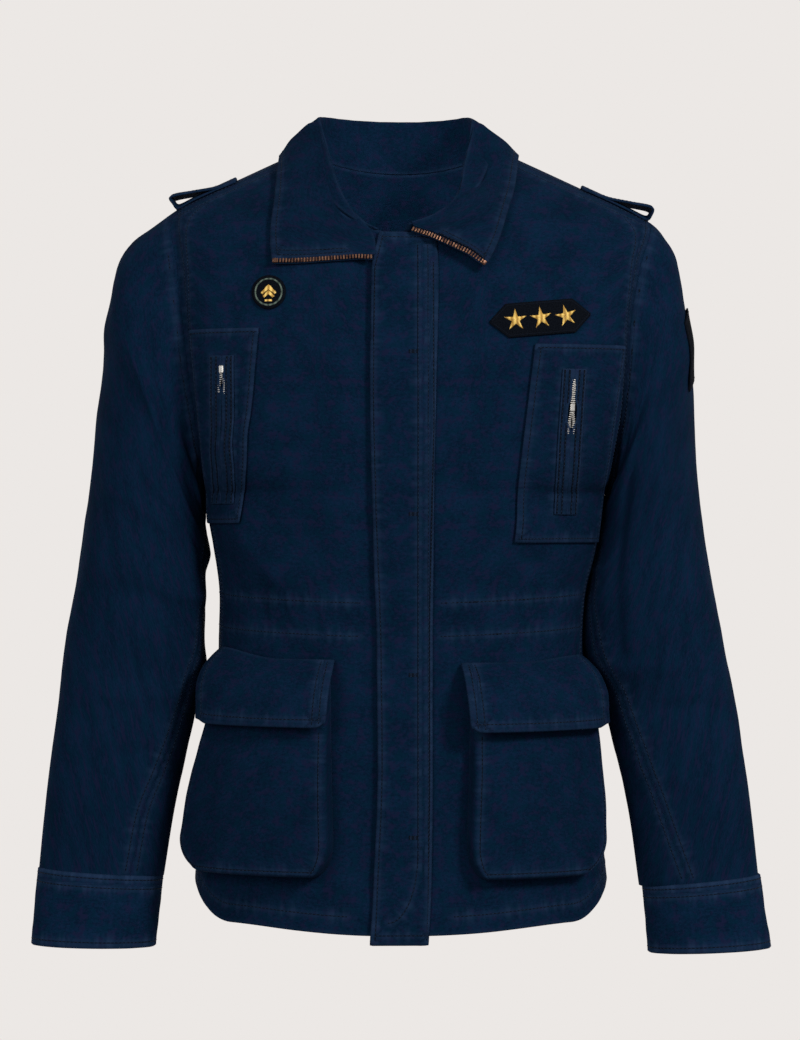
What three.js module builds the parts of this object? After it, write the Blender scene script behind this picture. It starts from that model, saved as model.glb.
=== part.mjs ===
// A safari jacket, filled out as if worn: an open, hollow garment of cloth walls.
// Millimetres, +Z up, the front facing -Y, the wearer's right at -X. The origin is at the middle of the
// neck, level with the line where the shoulders carry the jacket.
import * as THREE from 'three';

// Cloth
const WALL = 1.6;
const GAP = 0.3;
const PATCH_OFF = 1.1; // clearance under what lies on the rounded cloth
const FLY_OFF = 0.7;
const LOOP_OFF = 0.8;
const THIN = 1.1; // patches, badge and stars

// Torso
const NECK_HALF = 82;
const NECK_MIDDLE = 10; // how far behind the origin the neck points lie
const NECK_HEIGHT = 12.3;
const NECK_FRONT = -73; // height of the neckline in the middle of the front
const NECK_BACK = -6;
// The shoulders' fall, how soon the ridge comes forward past the neck, their roundness at the neck and
// at the armholes, and their half depth.
const SHOULDER = { slope: 0.47, forward: 60, neckCrown: 0.8, sideCrown: 0.52, side: 110, depth: 115 };
// How far below the ridge of the shoulders the torso reaches its full depth, in its middle and its sides.
const ROLL_OFF = { frontMiddle: 238, backMiddle: 112, side: 190, reach: 110 };
const SQUARENESS = 2.4; // exponent of the torso's superelliptic sections
const ARMPIT = -300;
const HEM = { middle: -683, shelf: 8, side: 32, turn: 0.55 }; // it rises by a shelf, then at the side seams
const CENTRE_FRONT = 4; // where the two fronts meet under the fly
const CHEST_LEVEL = -200;

const RIGHT = -1;
const LEFT = 1;
const FRONT = -1;
const BACK = 1;

// Sections of the torso from the neck down. right and left: half widths; front and back: depths in the
// middle; edgeFront and edgeBack: how far before and behind the side the cloth ends, at the armholes.
const TORSO = [
  { z: 10, right: 199, left: 222, front: 118, back: 112, edgeFront: 74, edgeBack: 80 },
  { z: -56, right: 198, left: 222, front: 118, back: 112, edgeFront: 74, edgeBack: 80 },
  { z: -100, right: 191, left: 209, front: 118, back: 112, edgeFront: 73, edgeBack: 80 },
  { z: -160, right: 185, left: 200, front: 119, back: 113, edgeFront: 69, edgeBack: 77 },
  { z: -230, right: 178, left: 195, front: 121, back: 112, edgeFront: 59, edgeBack: 65 },
  { z: -270, right: 175, left: 189, front: 121, back: 109, edgeFront: 42, edgeBack: 46 },
  { z: -290, right: 174.5, left: 186, front: 120, back: 107, edgeFront: 22, edgeBack: 24 },
  { z: -300, right: 174, left: 184, front: 119, back: 106, edgeFront: 0, edgeBack: 0 },
  { z: -345, right: 167.5, left: 178, front: 115, back: 100, edgeFront: 0, edgeBack: 0 },
  { z: -396, right: 162.5, left: 167, front: 109, back: 94, edgeFront: 0, edgeBack: 0 },
  { z: -436, right: 162.5, left: 165, front: 108, back: 93, edgeFront: 0, edgeBack: 0 },
  { z: -500, right: 171, left: 171, front: 112, back: 99, edgeFront: 0, edgeBack: 0 },
  { z: -600, right: 181, left: 182, front: 118, back: 108, edgeFront: 0, edgeBack: 0 },
  { z: -690, right: 187, left: 190, front: 122, back: 114, edgeFront: 0, edgeBack: 0 },
];

// The torso's largest folds, as soft ridges and troughs between two places on it.
const TORSO_FOLDS = [
  { face: FRONT, x1: -30, z1: -110, x2: -27, z2: -640, width: 15, lift: -3.5 },
  { face: FRONT, x1: -52, z1: -130, x2: -60, z2: -420, width: 20, lift: 2.5 },
  { face: FRONT, x1: 74, z1: -150, x2: 60, z2: -300, width: 17, lift: -3 },
  { face: FRONT, x1: 104, z1: -330, x2: 60, z2: -400, width: 20, lift: 3 },
  { face: FRONT, x1: -150, z1: -325, x2: -80, z2: -385, width: 20, lift: 3.5 },
  { face: BACK, x1: -120, z1: -120, x2: -140, z2: -330, width: 20, lift: 4 },
  { face: BACK, x1: 128, z1: -110, x2: 140, z2: -350, width: 22, lift: 5 },
  { face: BACK, x1: -70, z1: -360, x2: 50, z2: -385, width: 20, lift: 4 },
  { face: BACK, x1: 30, z1: -470, x2: 60, z2: -640, width: 26, lift: 4 },
  { face: BACK, x1: -60, z1: -480, x2: -50, z2: -650, width: 24, lift: -4 },
];

// Rings of the sleeves from the armhole to the cuff. out and in: the side away from the body and the
// side beside it, each as a distance from the middle and a height; depth: half the ring's size along Y;
// y: the ring's middle along Y.
const SLEEVES = {
  [RIGHT]: [
    { outX: 199, outZ: -43, inX: 174, inZ: -300, depth: 68, y: 2 },
    { outX: 221, outZ: -60, inX: 175.4, inZ: -306, depth: 68, y: 1 },
    { outX: 240.5, outZ: -75, inX: 175.6, inZ: -314, depth: 68, y: 0 },
    { outX: 255, outZ: -99, inX: 175, inZ: -324, depth: 67, y: 0 },
    { outX: 261, outZ: -140, inX: 174, inZ: -338, depth: 66, y: -1 },
    { outX: 267, outZ: -190, inX: 173.5, inZ: -356, depth: 64, y: -3 },
    { outX: 274, outZ: -250, inX: 173.5, inZ: -380, depth: 62, y: -5 },
    { outX: 282, outZ: -315, inX: 174, inZ: -410, depth: 58, y: -7 },
    { outX: 291, outZ: -380, inX: 175, inZ: -444, depth: 54, y: -9 },
    { outX: 300, outZ: -440, inX: 182, inZ: -484, depth: 49, y: -12 },
    { outX: 308.5, outZ: -500, inX: 190, inZ: -527, depth: 44, y: -15 },
    { outX: 316, outZ: -565, inX: 201, inZ: -578, depth: 38, y: -18 },
    { outX: 322.5, outZ: -634, inX: 211, inZ: -641, depth: 32, y: -20 },
  ],
  [LEFT]: [
    { outX: 222, outZ: -55, inX: 184, inZ: -300, depth: 68, y: 2 },
    { outX: 234, outZ: -66, inX: 185.5, inZ: -306, depth: 68, y: 1 },
    { outX: 244, outZ: -82, inX: 186, inZ: -313, depth: 68, y: 0 },
    { outX: 252, outZ: -104, inX: 185, inZ: -322, depth: 67, y: 0 },
    { outX: 258, outZ: -145, inX: 181.6, inZ: -335, depth: 66, y: -1 },
    { outX: 262, outZ: -190, inX: 178.2, inZ: -354, depth: 64, y: -3 },
    { outX: 264, outZ: -250, inX: 172, inZ: -380, depth: 62, y: -5 },
    { outX: 270, outZ: -315, inX: 167.6, inZ: -410, depth: 58, y: -7 },
    { outX: 280, outZ: -380, inX: 167.6, inZ: -444, depth: 54, y: -9 },
    { outX: 291, outZ: -440, inX: 180, inZ: -484, depth: 49, y: -12 },
    { outX: 302, outZ: -500, inX: 191.5, inZ: -527, depth: 44, y: -15 },
    { outX: 312, outZ: -565, inX: 203.5, inZ: -578, depth: 38, y: -18 },
    { outX: 320, outZ: -640, inX: 213.5, inZ: -650, depth: 32, y: -20 },
  ],
};
const CUFFS = {
  [RIGHT]: [
    { outX: 323.5, outZ: -634.6, inX: 211.5, inZ: -641.6, depth: 34, y: -20 },
    { outX: 326.5, outZ: -668, inX: 215, inZ: -674, depth: 33, y: -21 },
    { outX: 330, outZ: -701, inX: 218, inZ: -703, depth: 32, y: -22 },
  ],
  [LEFT]: [
    { outX: 322, outZ: -640.6, inX: 216, inZ: -650.6, depth: 34, y: -20 },
    { outX: 327, outZ: -672, inX: 218.5, inZ: -680, depth: 33, y: -21 },
    { outX: 332, outZ: -704, inX: 221, inZ: -708.5, depth: 32, y: -22 },
  ],
};

// The sleeves' largest folds: around: degrees forward from the outer side; from and to: rings.
const SLEEVE_FOLDS = {
  [RIGHT]: [
    { around1: 20, ring1: 4.2, around2: 130, ring2: 2.6, width: 0.5, lift: 4 },
    { around1: 60, ring1: 7.5, around2: 150, ring2: 6.4, width: 0.45, lift: 3.5 },
    { around1: 80, ring1: 9, around2: 160, ring2: 8.4, width: 0.4, lift: -3 },
    { around1: 200, ring1: 5, around2: 300, ring2: 3.6, width: 0.5, lift: 4 },
    { around1: 190, ring1: 8.4, around2: 290, ring2: 9, width: 0.45, lift: 4 },
  ],
  [LEFT]: [
    { around1: 30, ring1: 4.4, around2: 140, ring2: 3, width: 0.45, lift: 3.5 },
    { around1: 50, ring1: 8, around2: 140, ring2: 6.8, width: 0.5, lift: 3 },
    { around1: 90, ring1: 9.6, around2: 165, ring2: 8.6, width: 0.4, lift: -3 },
    { around1: 210, ring1: 4.6, around2: 310, ring2: 3.4, width: 0.5, lift: 4.5 },
    { around1: 200, ring1: 8.8, around2: 300, ring2: 8, width: 0.45, lift: 4 },
  ],
};

// Collar, from its front end round to the middle of the back. turn: degrees round the neckline from the
// middle of the front; fold: the roll line; edge: the leaf's free edge, which stands off the torso.
const COLLAR = {
  [RIGHT]: [
    { turn: 14, foldX: 21, foldY: -86, foldZ: -68, edgeX: 110, edgeZ: -98, off: 6 },
    { turn: 26, foldX: 33, foldY: -79, foldZ: -60, edgeX: 112.5, edgeZ: -78, off: 5 },
    { turn: 42, foldX: 49, foldY: -64, foldZ: -36, edgeX: 110, edgeZ: -48, off: 5.5 },
    { turn: 64, foldX: 63, foldY: -32, foldZ: 7, edgeX: 108, edgeZ: -16.5, off: 5.5 },
    { turn: 90, foldX: 71, foldY: 2, foldZ: 38, edgeX: 106, edgeZ: 1, off: 5.5 },
    { turn: 128, foldX: 56, foldY: 42, foldZ: 42, edgeX: 83, edgeZ: -6, off: 6 },
    { turn: 155, foldX: 28, foldY: 58, foldZ: 41.5, edgeX: 42, edgeZ: -10, off: 6.5 },
    { turn: 168, foldX: 14, foldY: 61.2, foldZ: 41.2, edgeX: 21, edgeZ: -10, off: 6.5 },
  ],
  [LEFT]: [
    { turn: 6, foldX: 9, foldY: -93, foldZ: -62.5, edgeX: 75, edgeZ: -104, off: 10.5 },
    { turn: 20, foldX: 24, foldY: -84, foldZ: -58, edgeX: 85, edgeZ: -83, off: 9.5 },
    { turn: 40, foldX: 46, foldY: -68, foldZ: -41, edgeX: 93, edgeZ: -56, off: 7.5 },
    { turn: 62, foldX: 55, foldY: -38, foldZ: -16, edgeX: 100, edgeZ: -31, off: 6 },
    { turn: 90, foldX: 63, foldY: 4, foldZ: 35, edgeX: 105, edgeZ: 1.4, off: 5.5 },
    { turn: 126, foldX: 53, foldY: 42, foldZ: 42, edgeX: 83, edgeZ: -6, off: 6 },
    { turn: 155, foldX: 28, foldY: 58, foldZ: 41.5, edgeX: 42, edgeZ: -10, off: 6.5 },
    { turn: 168, foldX: 14, foldY: 61.2, foldZ: 41.2, edgeX: 21, edgeZ: -10, off: 6.5 },
  ],
};
const COLLAR_BACK = { turn: 180, foldX: 0, foldY: 62, foldZ: 41, edgeX: 0, edgeZ: -10, off: 6 };
const COLLAR_START = 3; // degrees, of its left end
const COLLAR_BULGE = 5;
const ROLL = { wide: 4.6, deep: 3 }; // of the folded edge
const LEAF_CLEAR = { plain: 6, overFly: 8, flyTurn: 40 }; // how far the leaf stands off the torso
const ZIP = { width: 5, wall: 1.6 };

// Fly over the centre front: its two edges, from the neck to the hem.
const FLY = [
  { z: -74, right: -17.5, left: 31 },
  { z: -110, right: -24.5, left: 33 },
  { z: -200, right: -25.5, left: 31 },
  { z: -345, right: -22, left: 28 },
  { z: -430, right: -19, left: 27 },
  { z: -540, right: -18, left: 27 },
  { z: -640, right: -22, left: 26 },
  { z: -690.5, right: -25, left: 24 },
];
const FLY_STAND = 2.2; // how far its free edge stands off the front under it

// Chest pockets: patches, inner and outer edges down them, and the slot of the upright zip.
const CHEST = {
  [RIGHT]: {
    rows: [{ z: -158, inner: 123, outer: 182 }, { z: -326, inner: 137, outer: 167 }],
    slot: { top: -188, bottom: -303, middleTop: 154, middleBottom: 152, half: 3 },
  },
  [LEFT]: {
    rows: [{ z: -172, inner: 117, outer: 195 }, { z: -343, inner: 97, outer: 173 }],
    slot: { top: -200, bottom: -312, middleTop: 150, middleBottom: 143, half: 3 },
  },
};
const WELT = { border: 7, wall: 1.1, off: 1.1 };
const CHEST_OFF = WALL + 1.7;

// Bellows pockets: the distances of a bag's two edges from the middle, at its top and bottom, and how
// far its face stands off the front.
const BAGS = {
  [RIGHT]: {
    top: -457, bottom: -634,
    innerTop: 60, innerBottom: 57,
    outerTop: 154, outerBottom: 178, face: 23,
  },
  [LEFT]: {
    top: -460, bottom: -636,
    innerTop: 61, innerBottom: 57,
    outerTop: 163, outerBottom: 170, face: 18,
  },
};
const BAG = {
  mouth: 9,
  pillow: 3,
  seam: 1.6,
  lip: 3, // width of the turn down to the seam
  corner: 32, // how far up the rounded bottom corners reach, and how much each side is cut in
  innerCut: 0.6,
  outerCut: 0.3,
  downs: [0.62, 0.38, 0.18, 0],
  columns: [0, 0.027, 0.22, 0.42, 0.62, 0.82, 0.986, 1],
};
const FLAPS = {
  [RIGHT]: {
    top: -445, rise: 9, bottom: -504,
    innerTop: 57, innerBottom: 61,
    outerTop: 155, outerBottom: 156,
  },
  [LEFT]: {
    top: -448, rise: 5, bottom: -508,
    innerTop: 53, innerBottom: 58,
    outerTop: 158, outerBottom: 160,
  },
};
const FLAP_LIFTS = [
  { down: 0, lift: 0.4 },
  { down: 0.12, lift: 9 },
  { down: 0.3, lift: 18 },
  { down: 0.62, lift: 25 },
  { down: 1, lift: 26 },
];

// Shoulder loops near the armholes: from the stitched end out to the turn.
const LOOPS = {
  [RIGHT]: { start: 147, closed: 172, turn: 199 },
  [LEFT]: { start: 163, closed: 188, turn: 222 },
};
const LOOP = { half: 16, opening: 7.4, wall: 1.1, flatter: 0.75 };

// Badge, patches and stars
const BADGE = { side: RIGHT, x: 114, z: -126, radius: 15, flat: 0.25, off: 0.3 };
const STAR_PATCH = { side: LEFT, x: 122, z: -149, long: 44, short: 14.5, shoulder: 29, tilt: 5.4 };
const STAR = { radius: 10, waist: 0.42, spacing: 22.5 };
const SLEEVE_PATCH = { side: LEFT, ring1: 3.75, ring2: 5.15, around1: -32, around2: 32 };

const NAVY = 0x0e1f38;
const NAVY_DARK = 0x0b1a30;
const BRASS = 0x8a6a4a;
const STEEL = 0xb8bcc0;
const FELT_BLACK = 0x0a0a0c;
const GOLD = 0xc9a24a;

const jacket = new THREE.Group();

function mix(a, b, t) {
  return a + (b - a) * t;
}

function smooth(t) {
  const s = Math.min(1, Math.max(0, t));
  return s * s * (3 - 2 * s);
}

// A table's column at a place between its rows, as a curve that never overshoots them.
function read(rows, key, column, at) {
  const xs = rows.map((row) => row[key]);
  const ys = rows.map((row) => row[column]);
  const way = Math.sign(xs.at(-1) - xs[0]);
  const place = Math.min(Math.max(at, Math.min(xs[0], xs.at(-1))), Math.max(xs[0], xs.at(-1)));
  let k = 0;
  while (k < xs.length - 2 && (place - xs[k + 1]) * way > 0) k += 1;
  const slopes = xs.slice(1).map((x, i) => (ys[i + 1] - ys[i]) / (x - xs[i]));
  const tangent = (i) => {
    if (i === 0 || i === xs.length - 1) return slopes[Math.min(i, slopes.length - 1)];
    const [before, after] = [slopes[i - 1], slopes[i]];
    return before * after <= 0 ? 0 : (2 * before * after) / (before + after);
  };
  const step = xs[k + 1] - xs[k];
  const t = (place - xs[k]) / step;
  const start = (1 + 2 * t) * (1 - t) ** 2 * ys[k] + t * (1 - t) ** 2 * step * tangent(k);
  const end = t * t * (3 - 2 * t) * ys[k + 1] + t * t * (t - 1) * step * tangent(k + 1);
  return start + end;
}

// The height that the folds add at a place: each is a soft bump along the line between its two ends.
function foldLift(folds, u, v, lineOf) {
  let total = 0;
  for (const fold of folds) {
    const [u1, v1, u2, v2] = lineOf(fold);
    const [du, dv] = [u2 - u1, v2 - v1];
    const along = ((u - u1) * du + (v - v1) * dv) / (du * du + dv * dv);
    const held = Math.min(1, Math.max(0, along));
    const away = Math.hypot(u - mix(u1, u2, held), v - mix(v1, v2, held));
    total += fold.lift * Math.exp(-((away / fold.width) ** 2));
  }
  return total;
}

// ---- Torso ----

const sideName = (side) => (side === RIGHT ? 'right' : 'left');
const halfWidth = (side, z) => read(TORSO, 'z', sideName(side), z);
const sine = (across) => Math.sin((across * Math.PI) / 2) ** (2 / SQUARENESS);
const cosine = (across) => Math.max(0, Math.cos((across * Math.PI) / 2)) ** (2 / SQUARENESS);

// How far across a panel, from 0 in the middle to 1 at its side, a distance from the middle lies.
function acrossAt(side, x, z) {
  const share = Math.min(1, x / halfWidth(side, z));
  return (Math.asin(share ** (SQUARENESS / 2)) * 2) / Math.PI;
}

// The ridge of the shoulders, carried on over the neck as an arch.
function ridge(x) {
  const past = Math.max(0, x - NECK_HALF);
  const arch = Math.max(0, NECK_HALF ** 2 - x ** 2) / (2 * NECK_HALF);
  const z = NECK_HEIGHT + SHOULDER.slope * (arch - past);
  return { y: NECK_MIDDLE * Math.exp(-past / SHOULDER.forward), z };
}

const crown = (x) => mix(SHOULDER.neckCrown, SHOULDER.sideCrown, smooth((x - NECK_HALF) / SHOULDER.side));

// The height of the torso's upper edge: the neckline, then the shoulder seam.
function topHeight(face, x) {
  if (x >= NECK_HALF) return ridge(x).z;
  const turn = Math.cos(Math.asin(x / NECK_HALF));
  return mix(NECK_HEIGHT, face === FRONT ? NECK_FRONT : NECK_BACK, turn);
}

const topOf = (side, face, across) => topHeight(face, halfWidth(side, 0) * sine(across));
const hemOf = (across) => {
  const rise = smooth((across - HEM.turn) / (1 - HEM.turn));
  return HEM.middle + HEM.shelf * smooth(across / HEM.turn) + HEM.side * rise;
};

// A point of the outer face of the torso.
function torso(side, face, across, z) {
  const ridgeX = halfWidth(side, 0) * sine(across);
  const top = ridge(ridgeX);
  const depth = read(TORSO, 'z', face === FRONT ? 'front' : 'back', z);
  const edge = read(TORSO, 'z', face === FRONT ? 'edgeFront' : 'edgeBack', z);
  const x = halfWidth(side, z) * sine(across);
  const full = face * mix(edge, depth, cosine(across));
  const middle = face === FRONT ? ROLL_OFF.frontMiddle : ROLL_OFF.backMiddle;
  const reach = mix(middle, ROLL_OFF.side, smooth(x / ROLL_OFF.reach));
  const down = Math.min(1, Math.max(0, (top.z - z) / reach));
  const rolled = mix(top.y, full, (1 - (1 - down) ** 2) ** crown(ridgeX));
  const folds = TORSO_FOLDS.filter((fold) => fold.face === face);
  const lift = foldLift(folds, side * x, z, (f) => [f.x1, f.z1, f.x2, f.z2]) * smooth(down * 2);
  const turn = (across * Math.PI) / 2;
  return new THREE.Vector3(side * (x + lift * Math.sin(turn)), rolled + face * lift * Math.cos(turn), z);
}

// A point over the torso, from its distance from the middle, its height and how far it stands off.
function onTorso(side, face, x, z, off) {
  const small = 0.01;
  const across = acrossAt(side, x, z);
  const beside = Math.min(0.999, across + small);
  const span = torso(side, face, beside, z).sub(torso(side, face, Math.max(0, beside - 2 * small), z));
  const rise = torso(side, face, across, z + 3).sub(torso(side, face, across, z - 3));
  const normal = span.cross(rise).multiplyScalar(-side * face).normalize();
  return torso(side, face, across, z).addScaledVector(normal, off);
}

// ---- Walls of cloth ----

// Normals of a grid of points, facing out where columns run anticlockwise seen from above.
function normalsOf(grid, ring, way) {
  const rows = grid.length;
  const columns = grid[0].length;
  return grid.map((line, i) => line.map((point, j) => {
    const next = ring ? line[(j + 1) % columns] : line[Math.min(j + 1, columns - 1)];
    const last = ring ? line[(j + columns - 1) % columns] : line[Math.max(j - 1, 0)];
    const up = grid[Math.min(i + 1, rows - 1)][j];
    const down = grid[Math.max(i - 1, 0)][j];
    const across = next.clone().sub(last);
    return across.cross(up.clone().sub(down)).multiplyScalar(way).normalize();
  }));
}

// A closed solid whose outer face is the grid and whose inner face lies a wall behind it. Cells that
// are not kept are holes. way is 1 where columns run anticlockwise seen from above and rows run up.
function wall(grid, { way = 1, ring = false, thickness = WALL, keep = () => true, normals = null }) {
  const rows = grid.length;
  const columns = grid[0].length;
  const cellColumns = ring ? columns : columns - 1;
  const facing = normals ?? normalsOf(grid, ring, way);
  const positions = [];
  const index = [];
  for (const depth of [0, thickness]) {
    grid.forEach((line, i) => line.forEach((point, j) => {
      positions.push(...point.clone().addScaledVector(facing[i][j], -depth).toArray());
    }));
  }
  const inner = rows * columns;
  const at = (i, j) => i * columns + (j % columns);
  const kept = (i, j) => {
    if (i < 0 || i >= rows - 1) return false;
    if (!ring && (j < 0 || j >= cellColumns)) return false;
    return keep(i, (j + cellColumns) % cellColumns);
  };
  const quad = (a, b, c, d) => {
    if (way > 0) index.push(a, b, c, a, c, d);
    else index.push(a, c, b, a, d, c);
  };
  for (let i = 0; i < rows - 1; i += 1) {
    for (let j = 0; j < cellColumns; j += 1) {
      if (!kept(i, j)) continue;
      const [a, b, c, d] = [at(i, j), at(i, j + 1), at(i + 1, j + 1), at(i + 1, j)];
      quad(a, b, c, d);
      quad(inner + b, inner + a, inner + d, inner + c);
      if (!kept(i - 1, j)) quad(a, inner + a, inner + b, b);
      if (!kept(i + 1, j)) quad(c, inner + c, inner + d, d);
      if (!kept(i, j - 1)) quad(d, inner + d, inner + a, a);
      if (!kept(i, j + 1)) quad(b, inner + b, inner + c, c);
    }
  }
  return compact(positions, index);
}

// The geometry without the points that no triangle uses.
function compact(positions, index) {
  const used = [...new Set(index)].sort((a, b) => a - b);
  const renamed = new Map(used.map((old, now) => [old, now]));
  const geometry = new THREE.BufferGeometry();
  const kept = used.flatMap((old) => positions.slice(old * 3, old * 3 + 3));
  geometry.setAttribute('position', new THREE.Float32BufferAttribute(kept, 3));
  geometry.setIndex(index.map((old) => renamed.get(old)));
  geometry.computeVertexNormals();
  return geometry;
}

function addPiece(name, geometry, color, roughness = 0.9, metalness = 0) {
  const mesh = new THREE.Mesh(geometry, new THREE.MeshStandardMaterial({ color, roughness, metalness }));
  mesh.name = name;
  jacket.add(mesh);
}

// Moves the points of one border of a grid towards the points next to them.
function inset(grid, border, amount) {
  const last = grid.length - 1;
  const end = grid[0].length - 1;
  const move = (point, towards) => {
    point.addScaledVector(towards.clone().sub(point).normalize(), amount);
  };
  if (border === 'bottom') grid[0].forEach((point, j) => move(point, grid[1][j]));
  if (border === 'top') grid[last].forEach((point, j) => move(point, grid[last - 1][j]));
  if (border === 'start') grid.forEach((line) => move(line[0], line[1]));
  if (border === 'end') grid.forEach((line) => move(line[end], line[end - 1]));
}

// ---- Torso panels ----

const LOWER_ROWS = 9;
const UPPER_ROWS = 8;
const NECK_TURNS = [0, 13.5, 28, 43, 58, 74, 90]; // degrees round the neckline, from its middle
const SIDE_COLUMNS = 7;

const neckAcross = (side, turn) => acrossAt(side, NECK_HALF * Math.sin((turn * Math.PI) / 180), 0);

// Places across a panel, round the neckline to the neck point and on to the side.
function columnsFrom(side, first) {
  const start = first > 0 ? acrossAt(side, first, CHEST_LEVEL) : 0;
  const inside = NECK_TURNS.slice(1).map((turn) => neckAcross(side, turn));
  const neck = inside.at(-1);
  const outside = Array.from({ length: SIDE_COLUMNS }, (_, k) => mix(neck, 1, (k + 1) / SIDE_COLUMNS));
  return [start, ...inside, ...outside];
}

// The share of the armhole's height that each upper row lies at, closer at its two ends.
const upperShare = (k) => (1 - Math.cos((k * Math.PI) / UPPER_ROWS)) / 2;

function panelColumn(side, face, across) {
  const lower = Array.from({ length: LOWER_ROWS }, (_, k) => mix(hemOf(across), ARMPIT, k / LOWER_ROWS));
  const top = topOf(side, face, across);
  const upper = Array.from({ length: UPPER_ROWS + 1 }, (_, k) => mix(ARMPIT, top, upperShare(k)));
  return [...lower, ...upper].map((z) => torso(side, face, across, z));
}

const gridFrom = (columns) => columns[0].map((_, i) => columns.map((column) => column[i]));

function frontGrid(side) {
  const first = side === LEFT ? CENTRE_FRONT + GAP / 2 : 0;
  const columns = columnsFrom(side, first).map((across) => panelColumn(side, FRONT, across));
  if (side === LEFT) return gridFrom(columns);
  const beyond = panelColumn(LEFT, FRONT, acrossAt(LEFT, CENTRE_FRONT - GAP / 2, CHEST_LEVEL));
  return gridFrom([beyond, ...columns]);
}

function backGrid() {
  const right = columnsFrom(RIGHT, 0).map((across) => panelColumn(RIGHT, BACK, across));
  const left = columnsFrom(LEFT, 0).map((across) => panelColumn(LEFT, BACK, across));
  return gridFrom([...left.reverse(), ...right.slice(1)]);
}

// ---- Sleeves ----

const SLEEVE_SIDES = 2 * UPPER_ROWS;
const CAP_RINGS = 4; // rings over which the armhole's shape fades out of the sleeve
const FOLD_TURN = 60; // degrees round the sleeve that count as one ring in a fold's width
const CUFF_WALL = 2.4;
const ALIKE = 0.2; // least product of two normals at a gentle seam

// The armhole, from the shoulder round its front to the armpit and up its back.
function armhole(side, turn) {
  const face = turn <= Math.PI ? FRONT : BACK;
  const share = (1 - Math.cos(turn)) / 2;
  return torso(side, face, 1, mix(topOf(side, face, 1), ARMPIT, share));
}

function ringPoint(side, row, turn) {
  const middleX = (row.outX + row.inX) / 2;
  const middleZ = (row.outZ + row.inZ) / 2;
  const x = middleX + ((row.outX - row.inX) / 2) * Math.cos(turn);
  const z = middleZ + ((row.outZ - row.inZ) / 2) * Math.cos(turn);
  return new THREE.Vector3(side * x, row.y - row.depth * Math.sin(turn), z);
}

// The sleeve's rings between those of its table.
function sleeveRow(rows, at) {
  const numbered = rows.map((row, ring) => ({ ...row, ring }));
  const columns = ['outX', 'outZ', 'inX', 'inZ', 'depth', 'y'];
  return Object.fromEntries(columns.map((column) => [column, read(numbered, 'ring', column, at)]));
}

// A point of the sleeve's outer face. Near the armhole it takes on the armhole's own shape.
function sleeve(side, ring, turn) {
  const rows = SLEEVES[side];
  const point = ringPoint(side, sleeveRow(rows, ring), turn);
  const strain = armhole(side, turn).sub(ringPoint(side, rows[0], turn));
  point.addScaledVector(strain, 1 - smooth(ring / CAP_RINGS));
  const asPlace = (f) => [f.around1 / FOLD_TURN, f.ring1, f.around2 / FOLD_TURN, f.ring2];
  const place = (turn * 180) / Math.PI / FOLD_TURN;
  const ends = smooth(ring / 2) * smooth((rows.length - 1 - ring) / 2);
  const lift = foldLift(SLEEVE_FOLDS[side], place, ring, asPlace) * ends;
  const out = new THREE.Vector3(side * Math.cos(turn), -Math.sin(turn), 0);
  return point.addScaledVector(out, lift);
}

function sleeveGrid(side) {
  const rings = SLEEVES[side].length;
  const turns = Array.from({ length: SLEEVE_SIDES }, (_, k) => (k * 2 * Math.PI) / SLEEVE_SIDES);
  return Array.from({ length: rings }, (_, ring) => turns.map((turn) => sleeve(side, ring, turn)));
}

function cuffGrid(side) {
  const turns = Array.from({ length: SLEEVE_SIDES }, (_, k) => (k * 2 * Math.PI) / SLEEVE_SIDES);
  return CUFFS[side].map((row) => turns.map((turn) => ringPoint(side, row, turn)));
}

// Where two sheets meet at a gentle angle, both take the mean of their normals, so that their walls
// end side by side.
function shareNormals(sheets) {
  const found = new Map();
  const keyOf = (point) => point.toArray().map((value) => Math.round(value * 10)).join();
  for (const sheet of sheets) {
    sheet.grid.forEach((line, i) => line.forEach((point, j) => {
      const key = keyOf(point);
      found.set(key, [...(found.get(key) ?? []), sheet.normals[i][j]]);
    }));
  }
  for (const normals of found.values()) {
    const alike = normals.every((a) => normals.every((b) => a.dot(b) > ALIKE));
    if (normals.length < 2 || !alike) continue;
    const mean = normals.reduce((sum, normal) => sum.add(normal), new THREE.Vector3()).normalize();
    normals.forEach((normal) => normal.copy(mean));
  }
}

function addShell() {
  const sheets = [
    { name: 'front_right', grid: frontGrid(RIGHT), way: -1, insets: ['end', 'top'] },
    { name: 'front_left', grid: frontGrid(LEFT), way: 1, insets: ['end', 'top'] },
    { name: 'back', grid: backGrid(), way: 1, insets: ['start', 'end', 'top'] },
    { name: 'sleeve_right', grid: sleeveGrid(RIGHT), way: -1, ring: true, insets: [] },
    { name: 'sleeve_left', grid: sleeveGrid(LEFT), way: 1, ring: true, insets: [] },
  ];
  for (const sheet of sheets) {
    sheet.normals = normalsOf(sheet.grid, sheet.ring, sheet.way);
  }
  shareNormals(sheets);
  for (const sheet of sheets) {
    const side = sheet.name.endsWith('right') ? RIGHT : LEFT;
    sheet.insets.forEach((border) => inset(sheet.grid, border, GAP * 0.6));
    if (sheet.ring) sheet.grid[0].forEach((point) => point.setX(point.x + side * GAP));
    const { way, ring, normals } = sheet;
    addPiece(sheet.name, wall(sheet.grid, { way, ring, normals }), NAVY);
  }
  for (const side of [RIGHT, LEFT]) {
    const cuff = wall(cuffGrid(side), { way: side, ring: true, thickness: CUFF_WALL });
    addPiece(`cuff_${sideName(side)}`, cuff, NAVY_DARK);
  }
}

// ---- Collar ----

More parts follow.
